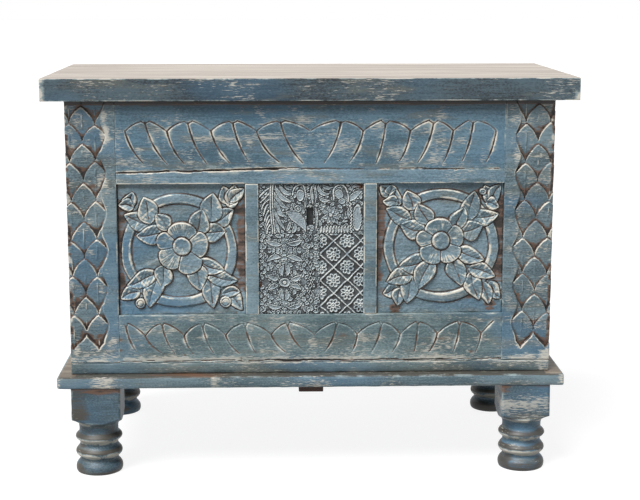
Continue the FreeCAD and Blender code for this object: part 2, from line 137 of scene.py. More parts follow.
def rubbed_paint(name, grain, dark=blue_dark, light=blue_light, dusting=0.6, fresh=0.4):
    """Chalky blue paint over cream on brown wood: matt, mottled and streaked along the
    grain, rubbed through to cream on ridges and edges, dark and bare down in the cuts. One
    dark coat is old dirt in places and painted shade in others, as the mesh gives it."""
    material, shader = new_material(name)
    cloud = grain_noise(material, grain, 150, 60, 2.0)
    tint = grain_noise(material, grain, 240, 110, 1.0)
    worn = grain_noise(material, grain, 95, 17, 4.0)
    patch = grain_noise(material, grain, 26, 18, 3.0)
    brush = grain_noise(material, grain, 60, 2.6, 3.0)
    scratch = grain_noise(material, grain, 11, 1.2, 4.0)
    speck = grain_noise(material, grain, 3.4, 1.9, 4.0)
    ridge, cut, grime_and_shade, dust = [
        add_node(material, "ShaderNodeAttribute", output="Fac", attribute_name=kept)
        for kept in ("ridge", "cut", "grime_and_shade", "dust")]
    tone = sway(material, sway(material, cloud, brush, 0.7), speck, 1.0)
    dirt_and_shade_amount = sway(material, grime_and_shade, brush, 1.2)
    flecks = add_node(material, "ShaderNodeMath",
                      {0: dust, 1: 0.22, 2: sway(material, scratch, worn, 0.45)},
                      operation="MULTIPLY_ADD")
    rubbing = patchy(material, patch, 0.38, 0.62, 0.8, 1.0, speck, 1.2)
    rubbed = add_node(material, "ShaderNodeMath", {0: ridge, 1: rubbing}, operation="MULTIPLY")
    baring = patchy(material, worn, 0.4, 0.6, 0.85, 0.8, speck, 0.8)
    bared = add_node(material, "ShaderNodeMath", {0: cut, 1: baring}, operation="MULTIPLY")
    painted = layered(material, dark, [
        (tone, 0.2, 0.8, 1.0, light), (tint, 0.52, 0.66, fresh, blue_fresh),
        (worn, 0.5, 0.66, 0.5, rubbed_grey), (dirt_and_shade_amount, 0.3, 0.8, 0.9, dirt_and_shade_colour),
        (flecks, 0.62, 0.72, dusting, cream), (rubbed, 0.1, 0.45, 0.8, chalk),
        (rubbed, 0.4, 0.75, 0.92, cream), (bared, 0.15, 0.5, 0.9, bare_wood),
        (bared, 0.55, 0.95, 1.0, dark_wood_and_shadow)])
    dress(material, shader, painted, sway(material, scratch, brush, 0.8), 0.4, 0.6)
    material.node_tree.links.new(sway(material, brush, brush, -0.7), shader.inputs["Roughness"])
    return material


def store(mesh, name, values):
    """Keep one number for each vertex in the mesh, for its material to read."""
    kept = mesh.attributes.get(name) or mesh.attributes.new(name, "FLOAT", "POINT")
    kept.data.foreach_set("value", np.asarray(values, dtype=np.float32).ravel())


def vertex_places(mesh):
    """The vertices of a mesh as rows of X, Y and Z."""
    places = np.empty(len(mesh.vertices) * 3)
    mesh.vertices.foreach_get("co", places)
    return places.reshape(-1, 3)


def move_vertices(mesh, places):
    """Put the vertices of a mesh in new places."""
    mesh.vertices.foreach_set("co", places.ravel())
    mesh.update()


def add_object(name, data):
    """An object in the scene for a mesh, a light or a camera."""
    made = bpy.data.objects.new(name, data)
    bpy.context.scene.collection.objects.link(made)
    return made


def put_piece(name, work, materials, body="chest", smooth_angle=40):
    """Turn a bmesh into the piece of the chest that stands for the CAD node of that name."""
    mesh = bpy.data.meshes.new(name)
    work.to_mesh(mesh)
    work.free()
    for material in materials:
        mesh.materials.append(material)
    mesh.shade_smooth()
    mesh.set_sharp_from_angle(angle=math.radians(smooth_angle))
    piece = add_object(name, mesh)
    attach(piece, body)
    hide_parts(name)
    return piece


def soft_noise(a, b, size, seed):
    """Smooth noise from 0 to 1 over two lengths in millimetres, with lumps of that size."""
    table = np.random.default_rng(seed).random((97, 97))
    cell_a, cell_b = np.floor(a / size).astype(int), np.floor(b / size).astype(int)
    part_a, part_b = a / size - cell_a, b / size - cell_b
    part_a, part_b = part_a ** 2 * (3 - 2 * part_a), part_b ** 2 * (3 - 2 * part_b)
    corner = [[table[(cell_a + i) % 97, (cell_b + j) % 97] for j in (0, 1)] for i in (0, 1)]
    return ((corner[0][0] * (1 - part_a) + corner[1][0] * part_a) * (1 - part_b)
            + (corner[0][1] * (1 - part_a) + corner[1][1] * part_a) * part_b)


def unit(value):
    """A value held between 0 and 1."""
    return np.clip(value, 0, 1)


leg_profile = [(36.5, 0), (39, 1.2), (40.4, 5), (40.7, 9), (40, 13.5), (37.6, 17.5), (34.8, 20.5),
               (33.3, 23), (33.2, 26), (34.4, 28), (37.4, 30.4), (39.8, 33.6), (40.5, 36.6),
               (39.8, 40), (37.2, 43.6), (34.6, 46.6), (33.2, 49.6), (33, 52.4), (33.6, 55),
               (36, 57.2), (39, 59.6), (40.7, 62.6), (40.2, 65.6), (37.8, 68.6), (35, 71),
               (33.9, 73.4), (33.7, 78), (34.1, 83), (35.4, 87), (38.6, 90), (42.5, 92.5),
               (50, 97), (59.3, 101)]
leg_top = 156
block_foot = 101
round_block = 60
leg_rounds = 96
rubbed_heights = (32, 58)
dirty_heights = (41, 67)
leg_paint = rubbed_paint("blue_paint_on_turned_mango_wood", "XY", "#2e3f48", "#607b8a", 0.6, 0.5)


def make_leg(name, seed, block_dust, foot_dirt):
    """A turned leg with a square block on top, made slightly uneven, and its wear."""
    low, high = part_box(name)
    half_block = (high[0] - low[0]) / 2
    radii, heights = np.array(leg_profile).T
    fine = np.arange(0, heights[-1], 1.0)
    outline = [(0, 0)] + list(zip(np.interp(fine, heights, radii), fine))
    outline += [(round_block, height) for height in (*range(block_foot, leg_top, 5), leg_top)]
    outline.append((0, leg_top))
    work = bmesh.new()
    rim = [work.verts.new((radius * mm, 0, height * mm)) for radius, height in outline]
    edges = [work.edges.new(pair) for pair in zip(rim[:-1], rim[1:])]
    bmesh.ops.spin(work, geom=rim + edges, cent=(0, 0, 0), axis=(0, 0, 1),
                   angle=2 * math.pi, steps=leg_rounds, use_merge=True)
    bmesh.ops.remove_doubles(work, verts=work.verts, dist=0.01 * mm)
    bmesh.ops.recalc_face_normals(work, faces=work.faces)
    piece = put_piece(name, work, [leg_paint], smooth_angle=35)
    places = vertex_places(piece.data)
    x, y, z = places.T / mm
    turn = np.arctan2(y, x) * 20
    block = half_block / mm - 0.6 * soft_noise(z, turn, 14, seed)
    reach = np.maximum(np.abs(x), np.abs(y))
    squeeze = np.where(reach > block, block / np.maximum(reach, 1), 1)
    squeeze *= 1 - 0.012 * soft_noise(z, turn, 12, seed + 1)
    places[:, 0] = (low[0] + high[0]) / 2 + places[:, 0] * squeeze
    places[:, 1] = (low[1] + high[1]) / 2 + places[:, 1] * squeeze
    move_vertices(piece.data, places)
    ring_under = sum(np.exp(-((z - height) / 4.0) ** 2) for height in rubbed_heights)
    ring_wide = sum(np.exp(-((z - height) / 4.5) ** 2) for height in dirty_heights)
    corner = np.minimum(np.abs(x), np.abs(y)) / half_block * mm
    edge = (z > block_foot - 1) & (corner > 0.95)
    shoulder = np.exp(-((z - 91) / 4) ** 2)
    lumps = soft_noise(turn, z, 24, seed + 2)
    upper = unit((z - 134 - 16 * soft_noise(turn, z, 22, seed + 7)) / 5)
    store(piece.data, "ridge", ring_under * np.clip(3.6 * lumps, 0.6, 2.2) + 0.35 * edge
          + shoulder * np.clip(2.4 * lumps - 0.6, 0, 1.2))
    store(piece.data, "cut", upper * np.clip(2.4 * soft_noise(turn, z, 18, seed + 3), 0.2, 0.8))
    foot_of_block = unit((128 - z) / 25) * (z > 92)
    blotches = unit(2.0 * soft_noise(turn, z, 13, seed + 6) - 0.8) * (z < 92)
    store(piece.data, "grime_and_shade", ring_wide * (0.7 + 0.5 * soft_noise(turn, z, 15, seed + 4))
          + 0.6 * blotches + (0.1 + 0.5 * foot_of_block) * soft_noise(turn, z, 30, seed + 5)
          + foot_dirt * unit((26 - z) / 8) * (0.4 + soft_noise(turn, z, 12, seed + 8))
          + 0.6 * (1 - block_dust) * unit((-x - 5) / 25) * (z > block_foot))
    middle_of_block = np.exp(-((z - 122) / 16) ** 2)
    store(piece.data, "dust", block_dust * middle_of_block * (0.5 + lumps) - 0.35 * (1 - block_dust))


for leg_name, seed, block_dust, foot_dirt in (
        ("leg_front_left", 1, 0.1, 0.3), ("leg_front_right", 21, 0.9, 0.45),
        ("leg_rear_left", 31, 0, 0.3), ("leg_rear_right", 41, 0, 0.3)):
    make_leg(leg_name, seed, block_dust, foot_dirt)


# Base boards
# Three mango boards side by side under the body, with soft hand-planed edges.
# Their top is limed pale; the edges are blue, worn to cream and brown along the arrises.
def bare_timber(name, grain, dark="#3c2a20", light="#6b4c35"):
    """Bare oiled mango wood, brown with darker lines along the grain, matt."""
    material, shader = new_material(name)
    streak = grain_noise(material, grain, 140, 3.5, 4.0)
    pore = grain_noise(material, grain, 14, 0.9)
    tone = sway(material, streak, pore, 0.5)
    ridge = add_node(material, "ShaderNodeAttribute", output="Fac", attribute_name="ridge")
    edge = sway(material, ridge, pore, 0.8)
    surface = layered(material, dark, [(tone, 0.3, 0.7, 1.0, light), (edge, 0.5, 0.9, 0.4, cream)])
    dress(material, shader, surface, tone, 0.3, 0.5)
    shader.inputs["Roughness"].default_value = 0.68
    return material


def limed_paint(name, low_tone, high_tone, dark, light, dusting, fresh=0.4):
    """Blue paint, but limed and waxed where the mesh's washed attribute says so."""
    material = rubbed_paint(name, "X", dark, light, dusting, fresh)
    base_colour = material.node_tree.nodes["Principled BSDF"].inputs["Base Color"]
    painted = base_colour.links[0].from_socket
    streak = grain_noise(material, "X", 320, 22, 3.0)
    line = grain_noise(material, "X", 150, 2.4, 4.0)
    speck = grain_noise(material, "X", 8, 2.5, 4.0)
    wash = layered(material, low_tone, [(streak, 0.38, 0.62, 1.0, high_tone),
                                        (line, 0.5, 0.75, 0.3, "#6b5c50")])
    washed = add_node(material, "ShaderNodeAttribute", output="Fac", attribute_name="washed")
    where = sway(material, washed, speck, 0.2)
    limed = layered(material, painted, [(where, 0.4, 0.6, 1.0, wash)])
    material.node_tree.links.new(limed, base_colour)
    return material


paints = {"X": rubbed_paint("blue_paint_on_long_mango_wood", "X"),
          "Y": rubbed_paint("blue_paint_on_side_mango_wood", "Y"),
          "Z": rubbed_paint("blue_paint_on_upright_mango_wood", "Z")}
bares = {"X": bare_timber("bare_mango_wood_long", "X"),
         "Y": bare_timber("bare_mango_wood_side", "Y"),
         "Z": bare_timber("bare_mango_wood_upright", "Z")}


def plank(name, low, high, grain, body="chest", round_edge=1.2, inner=None, worn=0.45,
          step=14, materials=None, wobble=0.3):
    """A planed board between two corners, with rounded, uneven, worn edges. A face whose
    normal lies along inner is bare wood."""
    low, high = Vector(low), Vector(high)
    size = high - low
    work = bmesh.new()
    bmesh.ops.create_cube(work, size=1)
    bmesh.ops.scale(work, vec=size, verts=work.verts)
    bmesh.ops.translate(work, vec=(low + high) / 2, verts=work.verts)
    for axis in range(3):
        normal = Vector((axis == 0, axis == 1, axis == 2))
        margin = min((round_edge + 1.8) * mm, size[axis] / 3)
        cuts = [low[axis] + margin, high[axis] - margin]
        if axis == "XYZ".index(grain):
            count = max(1, round(size[axis] / (step * mm)))
            cuts += [low[axis] + size[axis] * k / count for k in range(1, count)]
        for place in cuts:
            bmesh.ops.bisect_plane(work, geom=work.verts[:] + work.edges[:] + work.faces[:],
                                   dist=1e-7, plane_co=normal * place, plane_no=normal)
    sharp = [edge for edge in work.edges if edge.calc_face_angle(0) > 1]
    bmesh.ops.bevel(work, geom=sharp, offset=round_edge * mm, offset_type="OFFSET",
                    affect="EDGES", segments=2, profile=0.5, material=-1)
    bmesh.ops.recalc_face_normals(work, faces=work.faces)
    if inner is not None:
        for face in work.faces:
            face.material_index = int(face.normal.dot(Vector(inner)) > 0.9)
    if materials is None:
        materials = [paints[grain], bares[grain]]
    piece = put_piece(name, work, materials, body)
    places = vertex_places(piece.data)
    reach = np.minimum(places - np.array(low), np.array(high) - places) / mm
    on_edge = np.sort(reach, axis=1)[:, 1] < round_edge + 0.2
    along = places[:, "XYZ".index(grain)] / mm
    seed = sum(map(ord, name))
    shake = soft_noise(along, places.sum(axis=1) / mm * 0.4, 16, seed)
    inward = np.sign((np.array(low) + np.array(high)) / 2 - places)
    shift = np.where(on_edge, shake * wobble * mm, 0)
    places += inward * shift[:, None] * (reach < round_edge + 0.2)
    move_vertices(piece.data, places)
    store(piece.data, "ridge", np.where(on_edge, worn * (0.4 + 1.0 * shake), 0))
    return piece


limed_base = limed_paint("limed_top_over_blue_base_paint", "#655b4f", "#867b6c", "#43575f",
                         "#778b93", 0.8)
for row in ("front", "middle", "rear"):
    board_name = "base_board_" + row
    low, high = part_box(board_name)
    board = plank(board_name, low, high, "X", round_edge=2.6, step=7,
                  wobble=0.8, worn=0.22, materials=[limed_base])
    x, y, z = vertex_places(board.data).T / mm
    top, front = high[2] / mm, low[1] / mm
    lumps = soft_noise(x, z, 40, 7)
    washed = unit((z - top) / 0.6 + 1)
    store(board.data, "washed", washed * (np.abs(x) > 405) if row == "front" else washed)
    if row == "front":
        # Painted shade: a dark strip along the front of the top, before the plinth; part of it is also
        # left bare brown.
        strip = unit((z - top + 4) / 3) * (y < front + 24)
        store(board.data, "grime_and_shade", strip * (0.95 + 0.3 * lumps))
        store(board.data, "cut", 0.55 * strip * np.exp(-((x + 225) / 75) ** 2))
        patch = 0.8 * np.exp(-((x + 355) / 22) ** 2) + np.exp(-((x + 167) / 7) ** 2)
        patch += 0.9 * unit((-x - 426) / 6)
        patch += unit((x - 420) / 10) * (0.5 + 0.9 * soft_noise(x, z, 6, 9))
        store(board.data, "dust", (y < front + 2) * np.maximum(patch, np.clip(
            1.3 * soft_noise(x, z, 45, 8) - 0.6, 0, 0.8)))


# Base batten
# An unpainted bar of dark hardwood that runs from front to back under the base boards.
# It is screwed up into them; its end shows between the front legs.
low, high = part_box("base_batten")
plank("base_batten", low, high, "Y", worn=0.2,
      materials=[bare_timber("dark_oiled_batten_wood", "Y", "#2a1a14", "#4d3327")])


# Screws
# Plain countersunk steel screws under the base, the battens and the lid, dulled by age.
def old_metal(name, specks, limits, clean, dull, metallic, roughness, nodes):
    """A metal with duller specks, given to small pieces that keep their CAD mesh."""
    material, shader = new_material(name)
    speck = grain_noise(material, "X", *specks)
    material.node_tree.links.new(layered(material, clean, [(speck, *limits, 1.0, dull)]),
                                 shader.inputs["Base Color"])
    shader.inputs["Metallic"].default_value = metallic
    shader.inputs["Roughness"].default_value = roughness
    for node in nodes:
        for material_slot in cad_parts[node].material_slots:
            material_slot.material = material


old_metal("dull_steel", (2, 1.5), (0.4, 0.7), "#8d8a84", "#6d6660", 1.0, 0.45,
          ("base_screws", "base_batten_screws", "lid_batten_screws", "hinge_body_screws",
           "hinge_lid_screws"))


# Plinth
# A low frame of four strips on the base, under the posts and the bottom rails.
# The front strip meets the rail above in an open, worn crack.
plinth_paint = rubbed_paint("blue_paint_on_plinth_mango_wood", "X", "#3a4a4f", "#66777a", 0.6, 0.3)
for side in ("front", "rear"):
    low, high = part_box("plinth_" + side)
    plinth = plank("plinth_" + side, low, high, "X", round_edge=1.5, step=7,
                   wobble=0.9, worn=0.2, inner=(0, 1 if side == "front" else -1, 0),
                   materials=[plinth_paint, bares["X"]])
    x, y, z = vertex_places(plinth.data).T / mm
    chipped_end = unit((x - 385) / 10) * (0.3 + 0.9 * soft_noise(x, z, 6, 20))
    store(plinth.data, "dust", np.maximum(chipped_end, 1.6 * unit((z - 193) / 3))
          * unit(soft_noise(x, z, 40, 19) + chipped_end / 2))
    # Painted shade: the strip darkens towards its foot, where it meets the base.
    store(plinth.data, "grime_and_shade", unit((183 - z) / 6) * 0.8)
for side, towards in (("left", 1), ("right", -1)):
    low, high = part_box("plinth_" + side)
    plank("plinth_" + side, low, high, "Y", inner=(towards, 0, 0))


# Front corner posts
# Upright square timbers carved by hand with overlapping pointed scales: each scale dips
# towards its foot, where the next two rise over it, and has a thin rib up its middle.
scale_pitch = 65.0
scale_column = 21.4
scale_dip = 8.5
scale_tops = (606.0, 637.0)
first_centre = 6.8
last_scale_row = 5
scales_reach = 63.5
carved_foot = 222.0
crack_foot = 199.5
# Painted shade under the lid's overhang starts at one height, and a near-black painted shadow, in the
# bare dark wood colours, at the next.
under_lid_shade_foot = 632.0
under_lid_shadow_foot = 638.8


def blurred_field(field, width):
    """A field averaged with its neighbours both ways."""
    reach = int(3 * width)
    bell = np.exp(-0.5 * (np.arange(-reach, reach + 1) / width) ** 2)
    for _ in range(2):
        padded = np.pad(field, ((reach, reach), (0, 0)), mode="edge")
        field = sum(weight * padded[shift:shift + len(field)]
                    for shift, weight in enumerate(bell / bell.sum())).T
    return field


def carved_board(name, low, high, depth_of, step, material, round_edge, shade,
                 ridge_gain=1.3, cut_gain=0.24, cut_floor=1.2, worn=0.4, dust_of=None,
                 recess_shade_gain=0.0):
    """A board whose front is cut to a depth in millimetres that a function of X and Z gives.
    The mesh is a fine grid with its rim drawn back to the board's rear. The shade function
    finishes the two fields of wear. Recesses and a band under the lid get painted shade."""
    low, high = Vector(low), Vector(high)
    size = high - low
    across = max(2, round(size.x / (step * mm)))
    up = max(2, round(size.z / (step * mm)))
    middle = (low + high) / 2
    stand = (Matrix.Translation((middle.x, low.y, middle.z)) @ Matrix.Rotation(math.pi / 2, 4, "X")
             @ Matrix.Diagonal((size.x / 2, size.z / 2, 1, 1)))
    work = bmesh.new()
    bmesh.ops.create_grid(work, x_segments=across, y_segments=up, size=1, matrix=stand)
    for back in (low.y + 16 * mm, high.y):
        rim = [edge for edge in work.edges if edge.is_boundary]
        drawn = bmesh.ops.extrude_edge_only(work, edges=rim)["geom"]
        for vert in drawn:
            if isinstance(vert, bmesh.types.BMVert):
                vert.co.y = back
    bmesh.ops.edgeloop_fill(work, edges=[edge for edge in work.edges if edge.is_boundary])
    bmesh.ops.recalc_face_normals(work, faces=work.faces)
    piece = put_piece(name, work, [material], smooth_angle=50)
    places = vertex_places(piece.data)
    front = places[:, 1] < low.y + 1 * mm
    column = np.rint((places[:, 0] - low.x) / size.x * across).astype(int)
    row = np.rint((places[:, 2] - low.z) / size.z * up).astype(int)
    x, z = np.meshgrid(np.linspace(low.x, high.x, across + 1) / mm,
                       np.linspace(low.z, high.z, up + 1) / mm, indexing="ij")
    depth = depth_of(x, z)
    rim_gap = np.minimum(np.minimum(x - low.x / mm, high.x / mm - x),
                         np.minimum(z - low.z / mm, high.z / mm - z))
    rim_gap = rim_gap + 1.0 * (soft_noise(x, z, 9, len(name)) - 0.5)
    rounding = round_edge - np.sqrt(np.clip(
        round_edge ** 2 - np.clip(round_edge - rim_gap, 0, round_edge) ** 2, 0, None))
    depth = np.maximum(depth, 0) + rounding + 0.25 * soft_noise(x, z, 14, 3 + len(name))
    average = blurred_field(depth, 1.3 / step)
    # Painted shade: recesses beside raised forms are darkened in the paint, as far as the gain allows.
    hollow = np.clip((depth - blurred_field(depth, 6 / step)) * recess_shade_gain, 0, 0.8)
    # Painted shade: a band under the lid's overhang is darkened in the paint.
    hollow = np.maximum(hollow, 1.1 * unit((z - under_lid_shade_foot) / 12))
    ridge = unit((average - depth) * ridge_gain)
    ridge = np.maximum(ridge, worn * unit(1.5 - rim_gap / 1.5))
    cut = np.clip((depth - average) * 0.7, 0, 0.6) + cut_gain * np.clip(depth - cut_floor, 0, None)
    ridge, cut = shade(x, z, depth, ridge, cut)
    # Painted shadow: the top edge, right under the lid, turns near black.
    cut = np.maximum(cut, 2.2 * unit((z - under_lid_shadow_foot) / 2))
    dust = np.zeros_like(x) if dust_of is None else dust_of(x, z)
    places[front, 1] += depth[column[front], row[front]] * mm
    move_vertices(piece.data, places)
    for kept_name, field in (("ridge", ridge), ("cut", cut), ("dust", dust), ("grime_and_shade", hollow)):
        store(piece.data, kept_name, np.where(front, field[column, row], 0))
    return piece


def scales(x, z, outer, seed):
    """Depth of the carved scales on a post, x counted inward from the post's outer side."""
    wander = 3.4 * (soft_noise(x, z, 50, seed) - 0.5)
    rise = 8.0 * (soft_noise(x, z, 70, seed + 1) - 0.5)
    inward = np.abs(x - outer) + wander
    height = z + rise
    depth = np.zeros_like(x)
    nearest = np.full_like(x, 1e9)
    for column in range(-1, 4):
        centre = first_centre + column * scale_column
        side = np.abs(inward - centre)
        for row in range(-1, last_scale_row + 1):
            below = scale_tops[column % 2] - row * scale_pitch - height
            share = unit(below / scale_pitch)
            spread = share if row == last_scale_row else np.minimum(share, 0.5)
            bulge = np.where(spread > 0.5, 1.7, 0.8)
            reach = scale_column * np.abs(np.sin(spread * math.pi)) ** bulge
            inside = (below > 0) & (below < scale_pitch) & (side < reach) & (below < nearest)
            rib = (1.5 * np.exp(-(side / 1.2) ** 2) * (below > 10)
                   * unit(2.5 * soft_noise(x, z, 11, seed + 4) - 0.8))
            dip = scale_dip * unit(below / 60) ** 1.35 + 1.5 * (side / scale_column) ** 2
            depth = np.where(inside, np.clip(dip - rib, 0, None), depth)
            nearest = np.where(inside, below, nearest)
    lobes = scales_reach + 4.5 * np.cos(2 * math.pi * (height - 521) / scale_pitch)
    inner = unit((lobes - inward) / 2.5)
    strength = 0.75 + 0.45 * soft_noise(x, z, 35, seed + 3)
    return depth * inner * strength + 0.5 * soft_noise(x, z, 4, seed + 5) * inner


def worn_spots(spots, least=0.0):
    """Cream rubbed patches, each a centre, two half widths and a strength."""
    def dust_of(x, z):
        dust = np.full_like(x, least)
        for spot_x, spot_z, half_x, half_z, strength in spots:
            far = np.hypot((x - spot_x) / half_x, (z - spot_z) / half_z)
            dust = np.maximum(dust, strength * np.minimum(1.5 - far, 1))
        foot = unit(1.2 - (z - crack_foot) / 11) * (z > crack_foot - 1)
        dust = 1.4 * np.maximum(dust, soft_noise(x, z, 17, 18) - 0.5)
        low_down = foot * (0.5 + 1.1 * soft_noise(x, z, 28, 17))
        return np.where(foot > 0, np.maximum(dust, low_down), dust)
    return dust_of


post_spots = {
    "left": [(-345, 590, 8, 17, 1.0), (-346, 622, 6, 10, 0.7), (-352, 511, 10, 12, 0.7),
             (-402, 222, 6, 18, 0.6), (-345, 208, 22, 6, 0.5), (-400, 560, 6, 30, 0.4)],
    "right": [(346, 615, 14, 10, 0.55), (350, 560, 8, 30, 0.5), (407, 205, 13, 13, 0.95),
              (352, 400, 6, 60, 0.4), (396, 330, 8, 20, 0.4)],
}


def post_wear(x, z, depth, ridge, cut):
    """Uneven rubbing of the scales, with brown left bare where a scale runs under the next."""
    rubbed = np.clip(2.7 * soft_noise(x, z, 21, 51) - 0.5, 0.15, 1.6) * np.where(x > 0, 0.75, 1.0)
    sunk = depth - blurred_field(depth, 4.5)
    bared = np.clip(2.6 * soft_noise(x, z, 24, 52) - 0.3, 0.3, 1.4)
    tips = unit((depth + 2.4 * (soft_noise(x, z, 7, 53) - 0.5) - 4.0) / 3.5)
    tips = tips * np.clip((z - 205) / 60, 0.35, 1)
    arris = unit((np.abs(x) - 404) / 5) * (z > carved_foot)
    notches = np.clip(3 * soft_noise(x * 0.5, z, 9, 54) - 1.2, 0, 1.2)
    chips = unit(3 * soft_noise(x, z, 6, 55) - 1.4)
    cut = cut + bared * (np.clip(0.25 * sunk - 0.2, 0, 0.7) + 0.7 * tips) + arris * notches
    return ridge * rubbed + 0.9 * arris * chips, cut


post_paint = rubbed_paint("blue_paint_on_carved_post_wood", "X", "#3a4d55", "#7f949c", 0.8, 0.5)
for side, outer_index, seed in (("left", 0, 11), ("right", 1, 29)):
    post_name = "corner_post_front_" + side
    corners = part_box(post_name)
    low, high = corners
    outer = corners[outer_index][0] / mm
    carved_board(post_name, low, high,
                 lambda x, z, outer=outer, seed=seed: scales(x, z, outer, seed),
                 1.05, post_paint, round_edge=1.6, ridge_gain=1.1,
                 cut_gain=0.0, worn=0.2, recess_shade_gain=0.35, shade=post_wear,
                 dust_of=worn_spots(post_spots[side]))


# Rear corner posts
# The same timbers as in front, left plain because they stand against a wall.
for side in ("left", "right"):
    post_name = "corner_post_rear_" + side
    low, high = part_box(post_name)
    plank(post_name, low, high, "Z", round_edge=2.0, wobble=0.5)


# Front rails
# Long rails between the posts. The top and the bottom one carry a border of cut strokes:
# arches side by side, with a slanting curve down from each peak and each valley. Under
# the top rail, and at the foot of the bottom one, the wood has opened in a ragged crack.
rail_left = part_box("corner_post_front_left")[1][0]
rail_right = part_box("corner_post_front_right")[0][0]
stroke_half_width = 1.9
stroke_depth = 2.6
# Valleys and peaks in turn, from each end to the middle, and how far the curve below leans.
top_marks = [
    (1, "valley", [(-311.5, 30), (-277.7, 36), (-241.4, 28), (-206.1, 31), (-168.0, 31),
                   (-131.0, 28), (-91.2, 38), (-51.1, 37), (-1.4, 0)]),
    (-1, "valley", [(311.6, 16), (272.7, 18), (239.3, 17), (206.0, 26), (166.9, 18),
                    (125.2, 16), (87.6, 23), (50.0, 28), (-1.4, 0)])]
bottom_marks = [
    (1, "peak", [(-316.8, 18), (-284.0, 27), (-255.4, 21), (-217.7, 14), (-185.8, 18),
                 (-146.6, 23), (-113.1, 18), (-68.9, 26), (-40.4, 30), (5.0, 0)]),
    (-1, "peak", [(316.6, 0), (292.4, 9), (255.4, 11), (216.9, 14), (183.4, 6), (152.9, 14),
                  (120.2, 17), (78.9, 10), (43.4, 21), (5.0, 0)])]
crack_line = [(-328, 524.3), (-270, 526.6), (-137, 528.6), (-36, 531.5), (50, 530.3),
              (184, 530.6), (328, 530)]
rail_spots = [(-70, 586, 50, 7, 0.6), (-150, 583, 50, 5, 0.4), (25, 588, 40, 6, 0.5),
              (-300, 536, 25, 5, 0.35), (-20, 262, 45, 7, 0.5), (95, 212, 60, 8, 0.5),
              (200, 595, 50, 5, 0.25), (-230, 228, 70, 4, 0.35), (240, 225, 60, 5, 0.4),
              (0, 515, 60, 5, 0.3), (-200, 272, 60, 4, 0.35), (210, 273, 80, 5, 0.3)]


def curve(start, bend, end, count=9):
    """Points along a bend from start to end."""
    share = np.linspace(0, 1, count)[:, None]
    start, bend, end = np.array(start), np.array(bend), np.array(end)
    return (1 - share) ** 2 * start + 2 * share * (1 - share) * bend + share ** 2 * end


def line_gap(x, z, points):
    """Distance from a line of points, and the share of the line before the nearest place."""
    gap, share = np.full_like(x, 1e9), np.zeros_like(x)
    count = len(points) - 1
    for index in range(count):
        step_x, step_z = points[index + 1] - points[index]
        along = (x - points[index][0]) * step_x + (z - points[index][1]) * step_z
        along = unit(along / (step_x ** 2 + step_z ** 2 + 1e-9))
        here = np.hypot(x - points[index][0] - along * step_x, z - points[index][1] - along * step_z)
        share = np.where(here < gap, (index + along) / count, share)
        gap = np.minimum(gap, here)
    return gap, share


def cut_stroke(x, z, depth, points, half_width, deep, taper):
    """Deepen the field along a line, with a V tool that runs out towards the end."""
    band = (x[:, 0] > points[:, 0].min() - 6) & (x[:, 0] < points[:, 0].max() + 6)
    part_x, part_z = x[band], z[band]
    gap, share = line_gap(part_x, part_z, points)
    width = half_width * (0.5 + 0.5 * unit((1 - share) / taper))
    width *= 0.75 + 0.5 * soft_noise(part_x, part_z, 7, 5)
    stroke = deep * width / half_width * unit(1 - gap / width)
    depth[band] = np.maximum(depth[band], stroke)


def stroke_border(x, z, halves, peak_z, valley_z, foot_z, tip, arch_depth, seed):
    """The depth of one border: arches between the valleys, and the slanting curves."""
    depth = np.zeros_like(x)
    rng = np.random.default_rng(seed)
    for side, kind, marks in halves:
        for (place, lean), (after, _) in zip(marks, marks[1:] + [(0, 0)]):
            place, after = side * place, side * after
            shake_top, shake_foot = rng.uniform(-2, 2, 2)
            top = (peak_z if kind == "peak" else valley_z) + shake_top
            lines = []
            if lean:
                bend = (place + lean * 0.25, top - (top - foot_z) * 0.6)
                foot = (place + lean, foot_z + shake_foot)
                slant = curve((place, top), bend, foot)
                lines.append((slant, stroke_half_width, stroke_depth, 0.4))
            if kind == "peak":
                bend = (after - 14, peak_z - 1)
                arch = curve((place + tip, peak_z + 5), bend, (after, valley_z))
            elif lean:
                bend = (place + 12, peak_z + 1)
                arch = curve((place, valley_z), bend, (after + 2 - tip, peak_z + 4))
            if kind == "peak" or lean:
                lines.append((arch, 1.6, arch_depth, 0.2))
            if kind == "peak" and lean:
                for end in (place - tip, place + tip):
                    notch = curve((end, peak_z + 4), (place, top), (place, top - 4))
                    lines.append((notch, 1.4, 1.6, 0.2))
            for line, half_width, deep, taper in lines:
                cut_stroke(x, z, depth, line * (side, 1), half_width, deep, taper)
            kind = "valley" if kind == "peak" else "peak"
    return depth


def crack(x, z, line_z, seed, deep, open_stretches):
    """A wavy open crack about a height. Its half width is given for some places along X."""
    flat = np.zeros_like(z)
    wander = 1.8 * (soft_noise(x, flat, 34, seed) - 0.5) + 0.8 * (soft_noise(x, flat, 7, seed) - 0.5)
    width = np.interp(x, *zip(*open_stretches)) * (0.75 + 0.5 * soft_noise(x, flat, 13, seed + 1))
    return deep * np.sqrt(width) * unit(1.3 - np.abs(z - line_z - wander) / width)


def top_crack(x, z):
    """The crack between the top rail and the field rail, half of it in each."""
    stretches = [(-328, 0.6), (-316, 1.4), (-240, 1.2), (-232, 0.4), (-225, 1.2), (-90, 1.3),
                 (-60, 1.7), (-45, 0.7), (40, 0.6), (60, 0.2), (160, 0.3), (180, 0.8), (250, 0.8),
                 (262, 0.2), (328, 0.3)]
    return crack(x, z, np.interp(x, *zip(*crack_line)), 61, 2.8, stretches)


def top_rail_depth(x, z):
    """The top rail's border of strokes, and its share of the crack."""
    strokes = stroke_border(x, z, top_marks, peak_z=607, valley_z=594, foot_z=541, tip=7,
                            arch_depth=1.6, seed=4)
    return np.maximum(strokes, top_crack(x, z))


